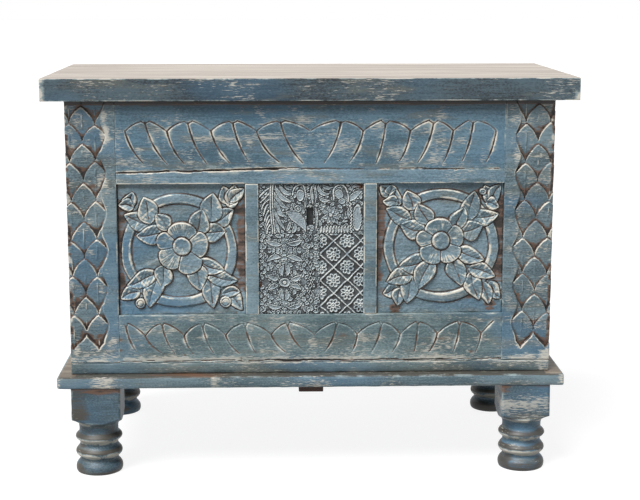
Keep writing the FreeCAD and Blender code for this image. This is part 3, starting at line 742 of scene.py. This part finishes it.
def bottom_rail_depth(x, z):
    """The bottom rail's border of strokes, chips along its foot, and the crack there."""
    strokes = stroke_border(x, z, bottom_marks, peak_z=261, valley_z=244, foot_z=213, tip=3.5,
                            arch_depth=2.3, seed=8)
    flecks = 1.4 * unit(soft_noise(x, z, 6, 33) - 0.55) * (z < crack_foot + 14)
    stretches = [(-328, 0.3), (-250, 0.5), (-160, 0.8), (-140, 0.3), (-70, 0.5), (-60, 1.5),
                 (40, 1.2), (60, 0.4), (120, 1.0), (230, 0.8), (260, 0.4), (328, 1.0)]
    return np.maximum(np.maximum(strokes, flecks), crack(x, z, crack_foot, 77, 2.6, stretches))


def rust_streaks(x, z, depth, ridge, cut):
    """Long thin streaks of brown wood, most of them low on the rails."""
    streak = unit(3 * soft_noise(x * 0.2, z, 5.5, 88) - 1.9)
    low_down = np.clip((300 - z) / 100, 0.25, 1)
    over_panel = np.exp(-((z - 506) / 1.4) ** 2) * (np.abs(np.abs(x) - 220) < 106)
    ridge = ridge * np.where(z < 300, 0.7, 1) + 2.2 * over_panel * soft_noise(x, z, 30, 87)
    beside = unit(2.2 * blurred_field(depth, 3.5)) * (z > crack_foot + 6)
    ridge = ridge + 0.36 * beside * unit(2.8 * soft_noise(x, z, 26, 86) - 1.1)
    cut = np.where((z > crack_foot + 6) & (z < 300), np.minimum(cut, 0.62), cut)
    return ridge, cut + 0.65 * streak * low_down * soft_noise(x, z, 60, 89)


# The top rail's paint is darker than the field rail's: painted shade under the lid.
for part, depth_of, dark, light in (("top", top_rail_depth, "#395462", "#698798"),
                                    ("field", top_crack, "#4c6672", "#819cab"),
                                    ("bottom", bottom_rail_depth, "#465a5f", "#7d9093")):
    rail_name = "front_" + part + "_rail"
    rail_paint = rubbed_paint("blue_paint_on_" + part + "_rail_wood", "X", dark, light)
    low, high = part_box(rail_name)
    carved_board(rail_name, (rail_left, low[1], low[2]), (rail_right, high[1], high[2]),
                 depth_of, 1.15, rail_paint, round_edge=0.4, ridge_gain=1.7,
                 cut_gain=0.6, cut_floor=0.4, worn=0.35, shade=rust_streaks,
                 dust_of=worn_spots(rail_spots, -0.6))


# Muntins
# Slim plain uprights on each side of the middle field, butted between the rails.
for part in ("front_muntin_left", "front_muntin_right"):
    low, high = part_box(part)
    low = (low[0], low[1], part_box("front_bottom_rail")[1][2])
    high = (high[0], high[1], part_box("front_field_rail")[0][2])
    plank(part, low, high, "Z", round_edge=1.0, step=7, wobble=0.6,
          worn=0.7, materials=[paints["X"]])


# Lining board
# A bare board behind the fields, inside the chest, that the panels and blocks lie against.
low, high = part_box("front_lining_board")
plank("front_lining_board", low, high, "X", materials=[bares["X"]])


# Flower panels
# Deep carved boards: a ring, a flower of five rounded petals round a button, and in each
# corner a sprig of pointed leaves. The ground is cut back and left brown at the sides.
# The two were carved by hand and differ, so each has its own petals and leaves.
ground_depth = 8.0
ring_outer = 98.0
ring_inner = 81.5
ring_height = 4.6
hub_radius = 15.5
groove_width = 2.4
groove_depth = 2.4
leaf_spread = 3.5
# A petal is its direction and half width in degrees, and its reach from the hub. A leaf is
# its foot, its tip and its half width, and a bud its middle and radius, from the hub too.
flowers = {
    "left": {
        "ring": (-224.5, 390.5), "hub": (-219.8, 398.6),
        "petals": [(89.5, 48.5, 41), (163.5, 25.5, 44), (225.5, 36.5, 46), (294, 32, 51),
                   (3.5, 37.5, 45)],
        "leaves": [((-87, 69), (-83, 93), 9), ((-84, 68), (-105, 73), 8), ((-59, 40), (-98, 51), 12),
                   ((-52, 48), (-64, 84), 15), ((-36, 21), (-77, 19), 13.5), ((-26, 33), (-40, 57), 10),
                   ((76, 77), (99, 79), 8), ((79, 77), (68, 101), 9), ((84, 77), (90, 105), 9),
                   ((86, 80), (105, 100), 8), ((60, 44), (90, 62), 12), ((49, 50), (54, 90), 16),
                   ((42, 24), (75, 23), 14), ((25, 27), (37, 62), 15),
                   ((-79, -77), (-105, -89), 9), ((-45, -58), (-56, -106), 14),
                   ((-50, -51), (-95, -66), 11), ((-29, -40), (-36, -71), 13),
                   ((80, -83), (104, -110), 9), ((73, -80), (98, -79), 7),
                   ((46, -61), (54, -107), 13), ((49, -52), (94, -60), 10),
                   ((35, -30), (71, -44), 10), ((21, -38), (33, -77), 15)],
        "buds": [(-72, -98, 9), (74, -96, 10)],
        "bare": [(-313, 478), (-180, 472), (-139, 458)],
    },
    "right": {
        "ring": (222.6, 396.5), "hub": (220.9, 406.2),
        "petals": [(99.5, 48.5, 39), (174, 26, 42), (235, 35, 45), (306.5, 36.5, 43), (17, 34, 41)],
        "leaves": [((-89, 80), (-103, 96), 8), ((-86, 82), (-84, 97), 7), ((-77, 64), (-76, 88), 8),
                   ((-77, 65), (-98, 69), 7), ((-58, 39), (-94, 53), 12), ((-49, 58), (-56, 86), 13),
                   ((-34, 17), (-70, 26), 14), ((-24, 34), (-37, 63), 13),
                   ((82, 70), (74, 96), 8), ((84, 72), (103, 96), 9), ((80, 64), (100, 60), 8),
                   ((55, 36), (99, 46), 12), ((51, 43), (55, 84), 13), ((41, 14), (73, 24), 14),
                   ((28, 25), (39, 57), 12),
                   ((-76, -85), (-98, -92), 8), ((-68, -88), (-75, -113), 8),
                   ((-52, -67), (-56, -109), 13), ((-56, -61), (-92, -71), 12),
                   ((-29, -37), (-70, -47), 14), ((-21, -42), (-36, -84), 14),
                   ((87, -79), (104, -103), 8), ((75, -78), (83, -111), 9),
                   ((55, -64), (65, -104), 12), ((58, -51), (96, -62), 11),
                   ((36, -20), (76, -36), 12), ((25, -40), (36, -80), 14)],
        "buds": [(70, 84, 6)],
        "bare": [(181, 476), (287, 484), (123, 317), (270, 311), (307, 294), (142, 288)],
    },
}


def lay(height, inside, form, rounding=2.4):
    """Lay a raised form over the field, with a rounded edge and a cut groove round it."""
    groove = unit(1 + inside / groove_width)
    sunk = np.clip(height - groove_depth * groove, 0, None)
    edge = np.sqrt(1 - (1 - unit(inside / rounding)) ** 2)
    return np.where(inside > 0, sunk + (form - sunk) * edge, np.where(groove > 0, sunk, height))


def lay_leaf(height, x, z, foot, tip, half_width):
    """A pointed leaf, hollowed along its middle, with a cut midrib and fine side veins. Its
    foot runs on under its neighbours."""
    foot, tip = np.array(foot, float), np.array(tip, float)
    foot = foot - 0.22 * (tip - foot)
    length = np.hypot(*(tip - foot))
    along_x, along_z = (tip - foot) / length
    run = (x - foot[0]) * along_x + (z - foot[1]) * along_z
    side = (x - foot[0]) * along_z - (z - foot[1]) * along_x
    side = side + 1.8 * np.sin(run / length * 5 + foot[0])
    share = run / length
    width = (half_width + leaf_spread) * np.sin(math.pi * unit(share) ** 0.8) ** 0.8
    beyond = np.maximum(-run, run - length)
    inside = np.where(beyond > 0, -np.hypot(beyond, side), width - np.abs(side))
    hollow = 3.3 * unit(1 - np.abs(side) / (0.8 * width + 0.01))
    midrib = 1.6 * np.exp(-(side / 1.0) ** 2) * (share > 0.15) * (share < 0.85)
    veins = 0.6 * unit(np.cos(2 * math.pi * (run + 0.9 * side) / 8))
    top = 6.2 + 0.5 * math.sin(foot[0]) + 0.9 * share
    return lay(height, inside, top - hollow - midrib - veins * (np.abs(side) > 1.5))


def lay_petal(height, radius, angle, direction, half_angle, reach):
    """A petal that widens to a round end, cupped so that its rim stands highest."""
    swing = ((angle - direction + 180) % 360 - 180) / half_angle
    outline = reach * (0.76 + 0.24 * np.sqrt(unit(1 - swing ** 2)))
    crease = (1 - np.abs(swing)) * math.radians(half_angle) * radius
    inside = np.minimum(outline - radius, crease)
    inside = np.where(np.abs(swing) < 1, inside, -99)
    cup = 4.0 + 3.2 * unit(radius / outline) ** 2
    lines = 0.3 * unit(np.cos(swing * 9)) * (radius > hub_radius + 6)
    return lay(height, inside, cup - lines, 1.8)


def flower_depth(x, z, flower, seed):
    """The whole panel's depth: its parts laid over each other from the ring up."""
    wander_x = 2.6 * (soft_noise(x, z, 30, seed) - 0.5)
    wander_z = 2.6 * (soft_noise(x, z, 30, seed + 1) - 0.5)
    x, z = x + wander_x, z + wander_z
    ring_radius = np.hypot(x - flower["ring"][0], z - flower["ring"][1])
    x, z = x - flower["hub"][0], z - flower["hub"][1]
    radius, angle = np.hypot(x, z), np.degrees(np.arctan2(z, x))
    height = 0.5 + 0.6 * soft_noise(x, z, 9, seed + 2)
    fold = np.abs(np.sin(np.radians(2 * angle)))
    crowd = unit((fold - np.where(ring_radius < ring_inner, 0.76, 0.9)) / 0.1)
    height = height + (3.2 - height) * crowd
    inside = np.minimum(ring_outer - ring_radius, ring_radius - ring_inner)
    height = lay(height, inside, ring_height + 0.6 * unit(inside / 6))
    for foot, tip, half_width in flower["leaves"]:
        height = lay_leaf(height, x, z, foot, tip, half_width)
    for bud_x, bud_z, bud_radius in flower["buds"]:
        bud = bud_radius - np.hypot(x - bud_x, z - bud_z)
        height = lay(height, bud, 6.5 - 1.5 * (np.abs(bud - 3.5) < 0.8))
    for direction, half_angle, reach in flower["petals"]:
        height = lay_petal(height, radius, angle, direction, half_angle, reach)
    button = 7.2 - 0.9 * unit((hub_radius - 4 - radius) / 2)
    height = lay(height, hub_radius - radius, button)
    return 0.85 * (ground_depth - height) + 0.8 * (soft_noise(x, z, 4, seed + 3) - 0.5)


def panel_wear(centre_x, flower):
    """Bare brown ground at the panel's sides, in a few spots and round the hub, paint on the
    rest. A painted shadow darkens the left edge of the opening. A rubbed line follows the
    ring's inner edge, and leaves are rubbed in streaks."""
    hub, ring = flower["hub"], flower["ring"]

    def shade(x, z, depth, ridge, cut):
        outward = np.maximum(x - centre_x, centre_x - x - 6)
        ground = unit((depth - 4.6) / 0.8)
        margin = unit((outward + 12 * (soft_noise(x, z, 14, 6) - 0.5) - 89) / 5)
        lumps = soft_noise(x, z, 22, 9)
        far = np.hypot(x - hub[0], z - hub[1])
        groove = np.exp(-((far - hub_radius - 1) / 1.8) ** 2)
        # Painted shadow: a dark line down the left edge of the panel.
        left_edge_shadow = unit((centre_x - x - 105.3) / 1.5)
        cut = cut * (0.5 + 0.9 * lumps) + 0.7 * ground * margin + 0.4 * groove + left_edge_shadow
        ring_radius = np.hypot(x - ring[0], z - ring[1])
        on_ring = (depth > 1.9) & (depth < 3.8)
        ridge = np.maximum(ridge, on_ring * np.exp(-((ring_radius - ring_inner - 2.6) / 1.5) ** 2))
        turn = 70 * np.arctan2(z - hub[1], x - hub[0])
        streaks = unit(3.2 * soft_noise(turn, far * 0.22, 2.4, 16) - 1.4)
        raised = unit((3.8 - depth) / 1.6) * unit(2 * soft_noise(x, z, 14, 15) - 0.3)
        plain = 1 - 0.8 * on_ring * (np.abs(ring_radius - ring_inner - 8) < 9)
        rubbed = (0.8 * streaks + 0.14) * raised * plain
        ridge = ridge * (0.8 + 0.5 * soft_noise(x, z, 10, 14)) + rubbed
        sunk = np.clip(0.45 * (depth - blurred_field(depth, 4)) - 0.15, 0, 0.7)
        cut = cut + np.clip(2.4 * soft_noise(x, z, 22, 18) - 0.6, 0, 0.8) * sunk
        for spot_x, spot_z in flower["bare"]:
            spot = unit(2.0 - np.hypot(x - spot_x, z - spot_z) / 9 - lumps)
            cut = cut + 0.7 * spot * unit((depth - 3) / 1.5)
        return ridge, cut
    return shade


panel_paint = rubbed_paint("blue_paint_on_flower_panel_wood", "X", "#4e656f", "#859ca8", 0.4, 0.65)
for side, seed in (("left", 41), ("right", 57)):
    panel_name = "flower_panel_" + side
    low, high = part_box(panel_name)
    centre_x = (low[0] + high[0]) / 2 / mm
    carved_board(panel_name, low, high,
                 lambda x, z, side=side, seed=seed: flower_depth(x, z, flowers[side], seed),
                 0.86, panel_paint, round_edge=0.8, ridge_gain=1.1,
                 cut_gain=0.0, worn=0.3, recess_shade_gain=0.22,
                 shade=panel_wear(centre_x, flowers[side]))


# Printing blocks
# Four old teak blocks for stamping cloth, set side by side with uneven seams. Their fine
# hand-cut forms stand up with pale rubbed rims over dark, dusty grounds.
block_relief = 3.0
slot_left, slot_right, slot_bottom, slot_top = -8.0, 3.8, 433.0, 464.5
slot_depth = 12.0
# A leaf is its foot, its bend, its tip and its half width. An oval is its middle, its two
# half widths, and how high its middle stands beside its rim.
tree_leaves = [
    ((-60, 500), (-52, 476), (-33, 474), 3.8), ((-54, 503), (-44, 484), (-30, 487), 3.6),
    ((-45, 504), (-38, 494), (-28, 498), 3.2), ((-61, 489), (-57, 467), (-38, 463), 4.0),
    ((-62, 478), (-59, 456), (-42, 449), 4.4), ((-63, 462), (-56, 442), (-44, 424), 3.2),
    ((-63, 446), (-58, 430), (-54, 420), 2.8), ((-33, 421), (-27, 427), (-28, 440), 3.2),
    ((-9, 500), (-8, 482), (-10, 462), 2.0), ((-42, 424), (-37, 430), (-35, 441), 2.6),
    ((-41, 455), (-20, 452), (-10, 423), 8.5)]
tree_ovals = [(-22, 462, 6.2, 6.2, 0.55), (-22, 462, 2.4, 2.4, 0.9), (-18, 485, 6.4, 9.5, 0.5)]
tree_arch = [((-31, 486), (-28, 505), (-16, 503)), ((-16, 503), (-5, 500), (-4.6, 420))]
bud_leaves = [
    ((2, 501), (0, 486), (3, 468), 2.3), ((7, 502), (10, 488), (6, 470), 2.1),
    ((12, 503), (16, 482), (32, 487), 3.6), ((20, 504), (26, 493), (37, 498), 3.0),
    ((13, 482), (20, 472), (32, 476), 2.8), ((8, 464), (13, 445), (8, 424), 2.2),
    ((65, 474), (70, 487), (86, 491), 5.0), ((70, 499), (77, 503), (86, 499), 2.8),
    ((66, 464), (61, 455), (64, 444), 2.2), ((14, 441), (18, 437), (17, 428), 2.4)]
bud_ovals = [(33.5, 451, 3.0, 3.0, 0.9), (47, 486, 7.0, 8.0, 0.5), (52, 474, 6.0, 4.6, 0.5)]
bud_arch = [((38, 476), (36, 503), (50, 502)), ((50, 502), (64, 501), (63, 474))]
mirrored_leaves = [((2, 30), (9, 22), (3, 12), 4.0), ((11, 6), (20, 4), (29, 13), 4.2),
                   ((6, 44), (20, 46), (31, 36), 4.2)]


def block_wood():
    """Old dark teak with blue-grey dust in the cuts, the raised rims rubbed pale grey."""
    material, shader = new_material("rubbed_block_teak")
    grime_and_shade = grain_noise(material, "X", 14, 12, 4.0)
    speck = grain_noise(material, "X", 2.0, 1.5)
    ground = layered(material, "#2b2a2b", [(grime_and_shade, 0.35, 0.7, 1.0, "#555a5c")])
    middle = layered(material, "#7c8e96", [(speck, 0.3, 0.7, 1.0, "#adb9be")])
    face = layered(material, "#bcc3c1", [(speck, 0.3, 0.7, 1.0, "#e8e8e2")])
    worn, brown = [
        sway(material, add_node(material, "ShaderNodeAttribute", output="Fac",
                                attribute_name=kept), grime_and_shade, 0.5) for kept in ("ridge", "cut")]
    surface = layered(material, ground, [(worn, 0.1, 0.42, 1.0, middle), (worn, 0.58, 0.9, 1.0, face),
                                         (brown, 0.4, 0.9, 1.0, "#5a3a26")])
    dress(material, shader, surface, speck, 0.35, 0.3)
    shader.inputs["Roughness"].default_value = 0.62
    return material


block_material = block_wood()


def stamp(face, inside, fill=0.5, rim=1.5):
    """Raise a form with a pale rim and a lower middle, and clear a dark line round it."""
    edge = unit(inside / 0.6 + 0.5)
    rim_share = unit((rim - inside) / 0.7)
    return np.where(inside > -1.3, edge * (fill + (1 - fill) * rim_share), face)


def stamp_leaf(face, x, z, points, half_width, fill=0.5):
    """Raise a curved leaf along some points."""
    gap, share = line_gap(x, z, points)
    width = half_width * np.sin(math.pi * np.clip(share, 0.03, 0.97) ** 0.85) ** 0.8
    return stamp(face, width - gap, fill)


def stamp_line(face, x, z, points, half_width):
    """Raise a plain line along some points."""
    gap, _ = line_gap(x, z, points)
    return stamp(face, half_width - gap, 1.0)


def stamp_oval(face, x, z, centre_x, centre_z, half_x, half_z, fill):
    """Raise an oval."""
    far = np.hypot((x - centre_x) / half_x, (z - centre_z) / half_z)
    return stamp(face, (1 - far) * np.minimum(half_x, half_z), fill)


def stamp_leaves(face, x, z, leaves, fill=0.5):
    """Raise leaves one after the other, each over the ones before."""
    for foot, bend, tip, half_width in leaves:
        face = stamp_leaf(face, x, z, curve(foot, bend, tip), half_width, fill)
    return face


def stamp_ovals(face, x, z, ovals):
    """Raise ovals one after the other, each over the ones before."""
    for oval in ovals:
        face = stamp_oval(face, x, z, *oval)
    return face


def lattice_block(x, z):
    """Crossed diagonals with a flower of eight looped petals in each diamond."""
    half_x, half_z = 23.2, 22.5
    u, v = (x - 61.3) / half_x, (z - 383.7) / half_z
    crossing = np.minimum(np.minimum((u + v) % 2, 2 - (u + v) % 2),
                          np.minimum((u - v) % 2, 2 - (u - v) % 2)) * half_x / math.sqrt(2)
    column, row = np.rint(u), np.rint(v)
    even = (column + row) % 2 == 0
    sideways = even & (np.abs(u - column) > np.abs(v - row))
    column = column + sideways * np.sign(u - column)
    row = row + (even & ~sideways) * np.sign(v - row)
    flower_x, flower_z = (u - column) * half_x, (v - row) * half_z
    radius = np.hypot(flower_x, flower_z)
    turn = np.arctan2(flower_z, flower_x) % (math.pi / 4) - math.pi / 8
    petal = np.hypot((radius * np.cos(turn) - 7.6) / 4.5, radius * np.sin(turn) / 3.1)
    loop = unit((0.36 - np.abs(petal - 0.86)) / 0.16)
    face = np.maximum(0.25 * (radius < 12), 0.9 * loop)
    face = np.maximum(face, unit((2.2 - radius) / 0.5))
    return stamp(face, 1.1 - crossing, 0.9)


def scattered_leaves(x, z, seed, spacing=6.8, half_width=2.6):
    """A ground of small curled leaves, laid every way, that fills between larger forms."""
    rng = np.random.default_rng(seed)
    face = np.full_like(x, 0.25)
    for place_x in np.arange(x.min(), x.max() + spacing, spacing):
        for place_z in np.arange(z.min(), z.max() + spacing, spacing):
            turn, shake_x, shake_z = rng.uniform(0, 2 * math.pi), *rng.uniform(-2, 2, 2)
            start = np.array((place_x + shake_x, place_z + shake_z))
            ahead = np.array((math.cos(turn), math.sin(turn))) * spacing
            bend = start + 0.6 * ahead + 0.4 * np.array((-ahead[1], ahead[0]))
            near = np.hypot(x - start[0], z - start[1]) < 2 * spacing
            points = curve(start, bend, start + 1.15 * ahead, 5)
            face[near] = stamp_leaf(face[near], x[near], z[near], points, half_width)
    return face


def arabesque_block(x, z):
    """Leaves and buds close together, mirrored about two lines, and a chain of diamonds."""
    u, v = np.abs(x + 45.9), np.abs((z - 335.3 + 55) % 110 - 55)
    face = scattered_leaves(u, v, 93, 7.2, 3.2)
    face = stamp_ovals(face, u, v, [(0, 0, 8.5, 7.5, 0.55), (0, 0, 3.0, 3.0, 0.9)])
    face = stamp_leaves(face, u, v, mirrored_leaves)
    link = 1 - np.abs(u - 44.5) / 3.8 - np.abs(v % 12.5 - 6.25) / 6.0
    return stamp(face, np.where(v < 38, link * 2.4, -9), 0.0, 1.2)


def tree_block(x, z):
    """A tree with drooping branches and long curling leaves, and a paisley beside it."""
    face = scattered_leaves(x, z, 91)
    for index in range(8):
        start = (-66, 499 - 9 * index)
        end = (-87 + 1.9 * index, start[1] - 15 - 2.0 * index)
        face = stamp_line(face, x, z, curve(start, (start[0] - 10, start[1] - 2), end), 1.2)
    face = stamp_leaves(face, x, z, tree_leaves)
    for shift in (0, 3.6):
        trunk = curve((-67 + shift, 505), (-72 + shift, 465), (-65 + shift, 420))
        face = stamp_line(face, x, z, trunk, 1.1)
    face = stamp_ovals(face, x, z, tree_ovals)
    return stamp_line(face, x, z, np.concatenate([curve(*bend) for bend in tree_arch]), 1.2)


def bud_block(x, z):
    """Curling leaves, a bud under an arch, a star of eight leaves and a long gourd."""
    face = stamp_leaves(scattered_leaves(x, z, 92), x, z, bud_leaves)
    blades = [((foot, 420), (foot + 1, 426), (foot + 3, 433), 2.0) for foot in range(16, 66, 5)]
    face = stamp_leaves(face, x, z, blades, 0.7)
    middle = np.array((33.5, 451.0))
    for index in range(8):
        turn = math.pi / 4 * index + 0.3
        tip = np.array((math.cos(turn), math.sin(turn)))
        side = np.array((-tip[1], tip[0]))
        ray = curve(middle + 2.5 * tip, middle + 9 * tip + 2 * side, middle + 15.5 * tip)
        face = stamp_leaf(face, x, z, ray, 3.3)
    face = stamp_ovals(face, x, z, bud_ovals)
    face = stamp_line(face, x, z, np.concatenate([curve(*bend) for bend in bud_arch]), 1.3)
    face = stamp_oval(face, x, z, 78.5, 446, 7.8 + 0.8 * np.cos(z * 1.1), 22, 0.5)
    wave_z = np.linspace(421, 472, 40)
    wave = np.stack([67.5 + 1.5 * np.cos(wave_z * 1.1), wave_z], axis=1)
    return stamp_line(face, x, z, wave, 1.0)


def block_depth(face_of, slotted):
    """Turn a face of raised forms into depth, with worn and uneven places."""
    def depth_of(x, z):
        wander_x = 2.4 * (soft_noise(x, z, 13, 70) - 0.5)
        wander_z = 2.4 * (soft_noise(x, z, 13, 71) - 0.5)
        face = face_of(x + wander_x, z + wander_z)
        face = face * (0.55 + 0.35 * soft_noise(x, z, 9, 74) + 0.4 * soft_noise(x, z, 1.8, 75))
        depth = block_relief * (1 - face) * (0.8 + 0.3 * soft_noise(x, z, 10, 73))
        depth = depth + 0.5 * soft_noise(x, z, 16, 72)
        if slotted:
            slot = (x > slot_left) & (x < slot_right) & (z > slot_bottom) & (z < slot_top)
            depth = np.where(slot, slot_depth, depth)
        return depth
    return depth_of


def block_shade(x, z, depth, ridge, cut):
    """Pale where the face stands up, dark where it is deep, brown in the top right corner."""
    face = unit(1 - (depth - 0.35) / (block_relief * 0.9))
    corner = unit(1.4 - np.hypot((x - 82) / 12, (z - 500) / 9))
    left = unit(1.3 - np.hypot((x + 88) / 6, (z - 330) / 14))
    return face, np.maximum(corner, left) * (0.4 + 0.6 * soft_noise(x, z, 6, 12))


for place, face_of in (("upper_left", tree_block), ("upper_right", bud_block),
                       ("lower_left", arabesque_block), ("lower_right", lattice_block)):
    block_name = "printing_block_" + place
    low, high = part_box(block_name)
    carved_board(block_name, low, high, block_depth(face_of, place == "upper_right"), 0.5,
                 block_material, round_edge=1.0, shade=block_shade)


# Sides
# Each side is two rails tenoned into the posts, with two boards in their grooves.
# Blue outside, bare inside.
for side, towards in (("left", 1), ("right", -1)):
    post_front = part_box("corner_post_front_" + side)
    post_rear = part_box("corner_post_rear_" + side)
    for part in ("side_top_rail_", "side_bottom_rail_", "side_board_lower_", "side_board_upper_"):
        low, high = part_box(part + side)
        low = (low[0], post_front[1][1], low[2])
        high = (high[0], post_rear[0][1], high[2])
        plank(part + side, low, high, "Y", inner=(towards, 0, 0))


# Back
# Two rails with three upright boards between them, painted outside and bare inside.
for part in ("back_top_rail", "back_bottom_rail", "back_board_left", "back_board_middle",
             "back_board_right"):
    low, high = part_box(part)
    low = (max(low[0], rail_left), low[1], low[2])
    high = (min(high[0], rail_right), high[1], high[2])
    plank(part, low, high, "Z" if "board" in part else "X",
          inner=(0, -1, 0))


# Hinges
# Two plain iron butt hinges let into the back rail and the lid, blackened and a little rusty.
old_metal("blackened_iron", (5, 4, 4.0), (0.5, 0.75), "#2f2d2b", "#5a3d2c", 0.8, 0.5,
          [part + side for part in ("hinge_body_leaf_", "hinge_lid_leaf_", "hinge_pin_")
           for side in ("left", "right")])


# Lid
# Three thick boards glued edge to edge: the top is washed pale and waxed, the edges and
# the underside are blue, and the paint is rubbed off along every arris.
lid_material = limed_paint("limed_top_over_blue_paint", "#a2988e", "#c1b7ac", "#0b161d",
                           "#50626b", 0.75, 0.3)
for row in ("front", "middle", "rear"):
    board_name = "lid_board_" + row
    low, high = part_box(board_name)
    lid_board = plank(board_name, low, high, "X", body="lid", round_edge=1.1,
                      step=6, wobble=0.15, worn=0.5, materials=[lid_material])
    x, y, z = vertex_places(lid_board.data).T / mm
    store(lid_board.data, "washed", unit((z - high[2] / mm) / 1.2 + 1))
    patches = unit(2 * soft_noise(x, z, 60, 3) - 0.5) * (y < low[1] / mm + 3)
    store(lid_board.data, "dust", 0.6 * patches - 0.2)
    lower = unit((high[2] / mm - z) / 25)
    ends = unit((-x - 441) / 5) + unit((x - 438) / 8) * lower
    ends = ends * (y < low[1] / mm + 2)
    kept = np.empty(len(x))
    lid_board.data.attributes["ridge"].data.foreach_get("value", kept)
    store(lid_board.data, "ridge", kept + ends * (0.3 + 0.7 * soft_noise(y, z, 9, 5)))


# Lid battens
# Two bare battens screwed across the boards under the lid, inside the chest.
for side in ("left", "right"):
    low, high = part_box("lid_batten_" + side)
    plank("lid_batten_" + side, low, high, "Y", body="lid",
          materials=[bares["Y"]], worn=0.3)


# Floor, lights and camera
# A pale floor under a soft white studio, lit from high in front, seen from a little above.
floor_mesh = bpy.data.meshes.new("floor")
floor_work = bmesh.new()
bmesh.ops.create_grid(floor_work, x_segments=1, y_segments=1, size=30)
floor_work.to_mesh(floor_mesh)
floor_work.free()
floor = add_object("floor", floor_mesh)
floor_material, floor_shader = new_material("white_studio_floor")
floor_shader.inputs["Base Color"].default_value = colour("#767676")
floor_shader.inputs["Roughness"].default_value = 0.9
floor_shader.inputs["Emission Color"].default_value = colour("#ffffff")
world = bpy.data.worlds.new("studio")
bpy.context.scene.world = world
world.use_nodes = True
backdrop = world.node_tree.nodes["Background"]
backdrop.inputs["Color"].default_value = colour("#ffffff")
floor_glow = 0.88
world_light = 0.07


def seen_rays(owner):
    """One for what the camera sees by itself, through glass or in a reflection."""
    camera_ray, glossy_ray, glass_ray = [
        add_node(owner, "ShaderNodeLightPath", output="Is " + kind + " Ray")
        for kind in ("Camera", "Glossy", "Transmission")]
    seen = add_node(owner, "ShaderNodeMath", {0: camera_ray, 1: glossy_ray}, operation="MAXIMUM")
    return add_node(owner, "ShaderNodeMath", {0: seen, 1: glass_ray}, operation="MAXIMUM")


floor_material.node_tree.links.new(
    add_node(floor_material, "ShaderNodeMath", {0: seen_rays(floor_material), 1: floor_glow},
             operation="MULTIPLY"), floor_shader.inputs["Emission Strength"])
floor_mesh.materials.append(floor_material)
world.node_tree.links.new(
    add_node(world, "ShaderNodeMath", {0: seen_rays(world), 1: 1 - world_light, 2: world_light},
             operation="MULTIPLY_ADD"), backdrop.inputs["Strength"])

sky_light = bpy.data.lights.new("high_soft_light", "SUN")
sky_light.energy = 4.4
sky_light.angle = math.radians(30)
sky_holder = add_object("high_soft_light", sky_light)
sky_holder.rotation_euler = Vector((-0.75, -1.0, 1.75)).to_track_quat("Z", "Y").to_euler()

fill_light = bpy.data.lights.new("fill_lamp", "AREA")
fill_light.shape = "SQUARE"
fill_light.size = 1.4
fill_light.energy = 2.5
fill_holder = add_object("fill_lamp", fill_light)
fill_holder.location = (1.6, -2.6, 0.9)
fill_aim = Vector((0, 0, 0.35)) - fill_holder.location
fill_holder.rotation_euler = fill_aim.to_track_quat("-Z", "Y").to_euler()

camera_data = bpy.data.cameras.new("camera")
camera_data.lens = 85.40
camera = add_object("camera", camera_data)
camera.location = (-0.06947, -2.75065, 0.84218)
camera.rotation_euler = (math.radians(79.955), 0, math.radians(-1.900))
bpy.context.scene.camera = camera

bpy.context.scene.view_settings.view_transform = "Standard"
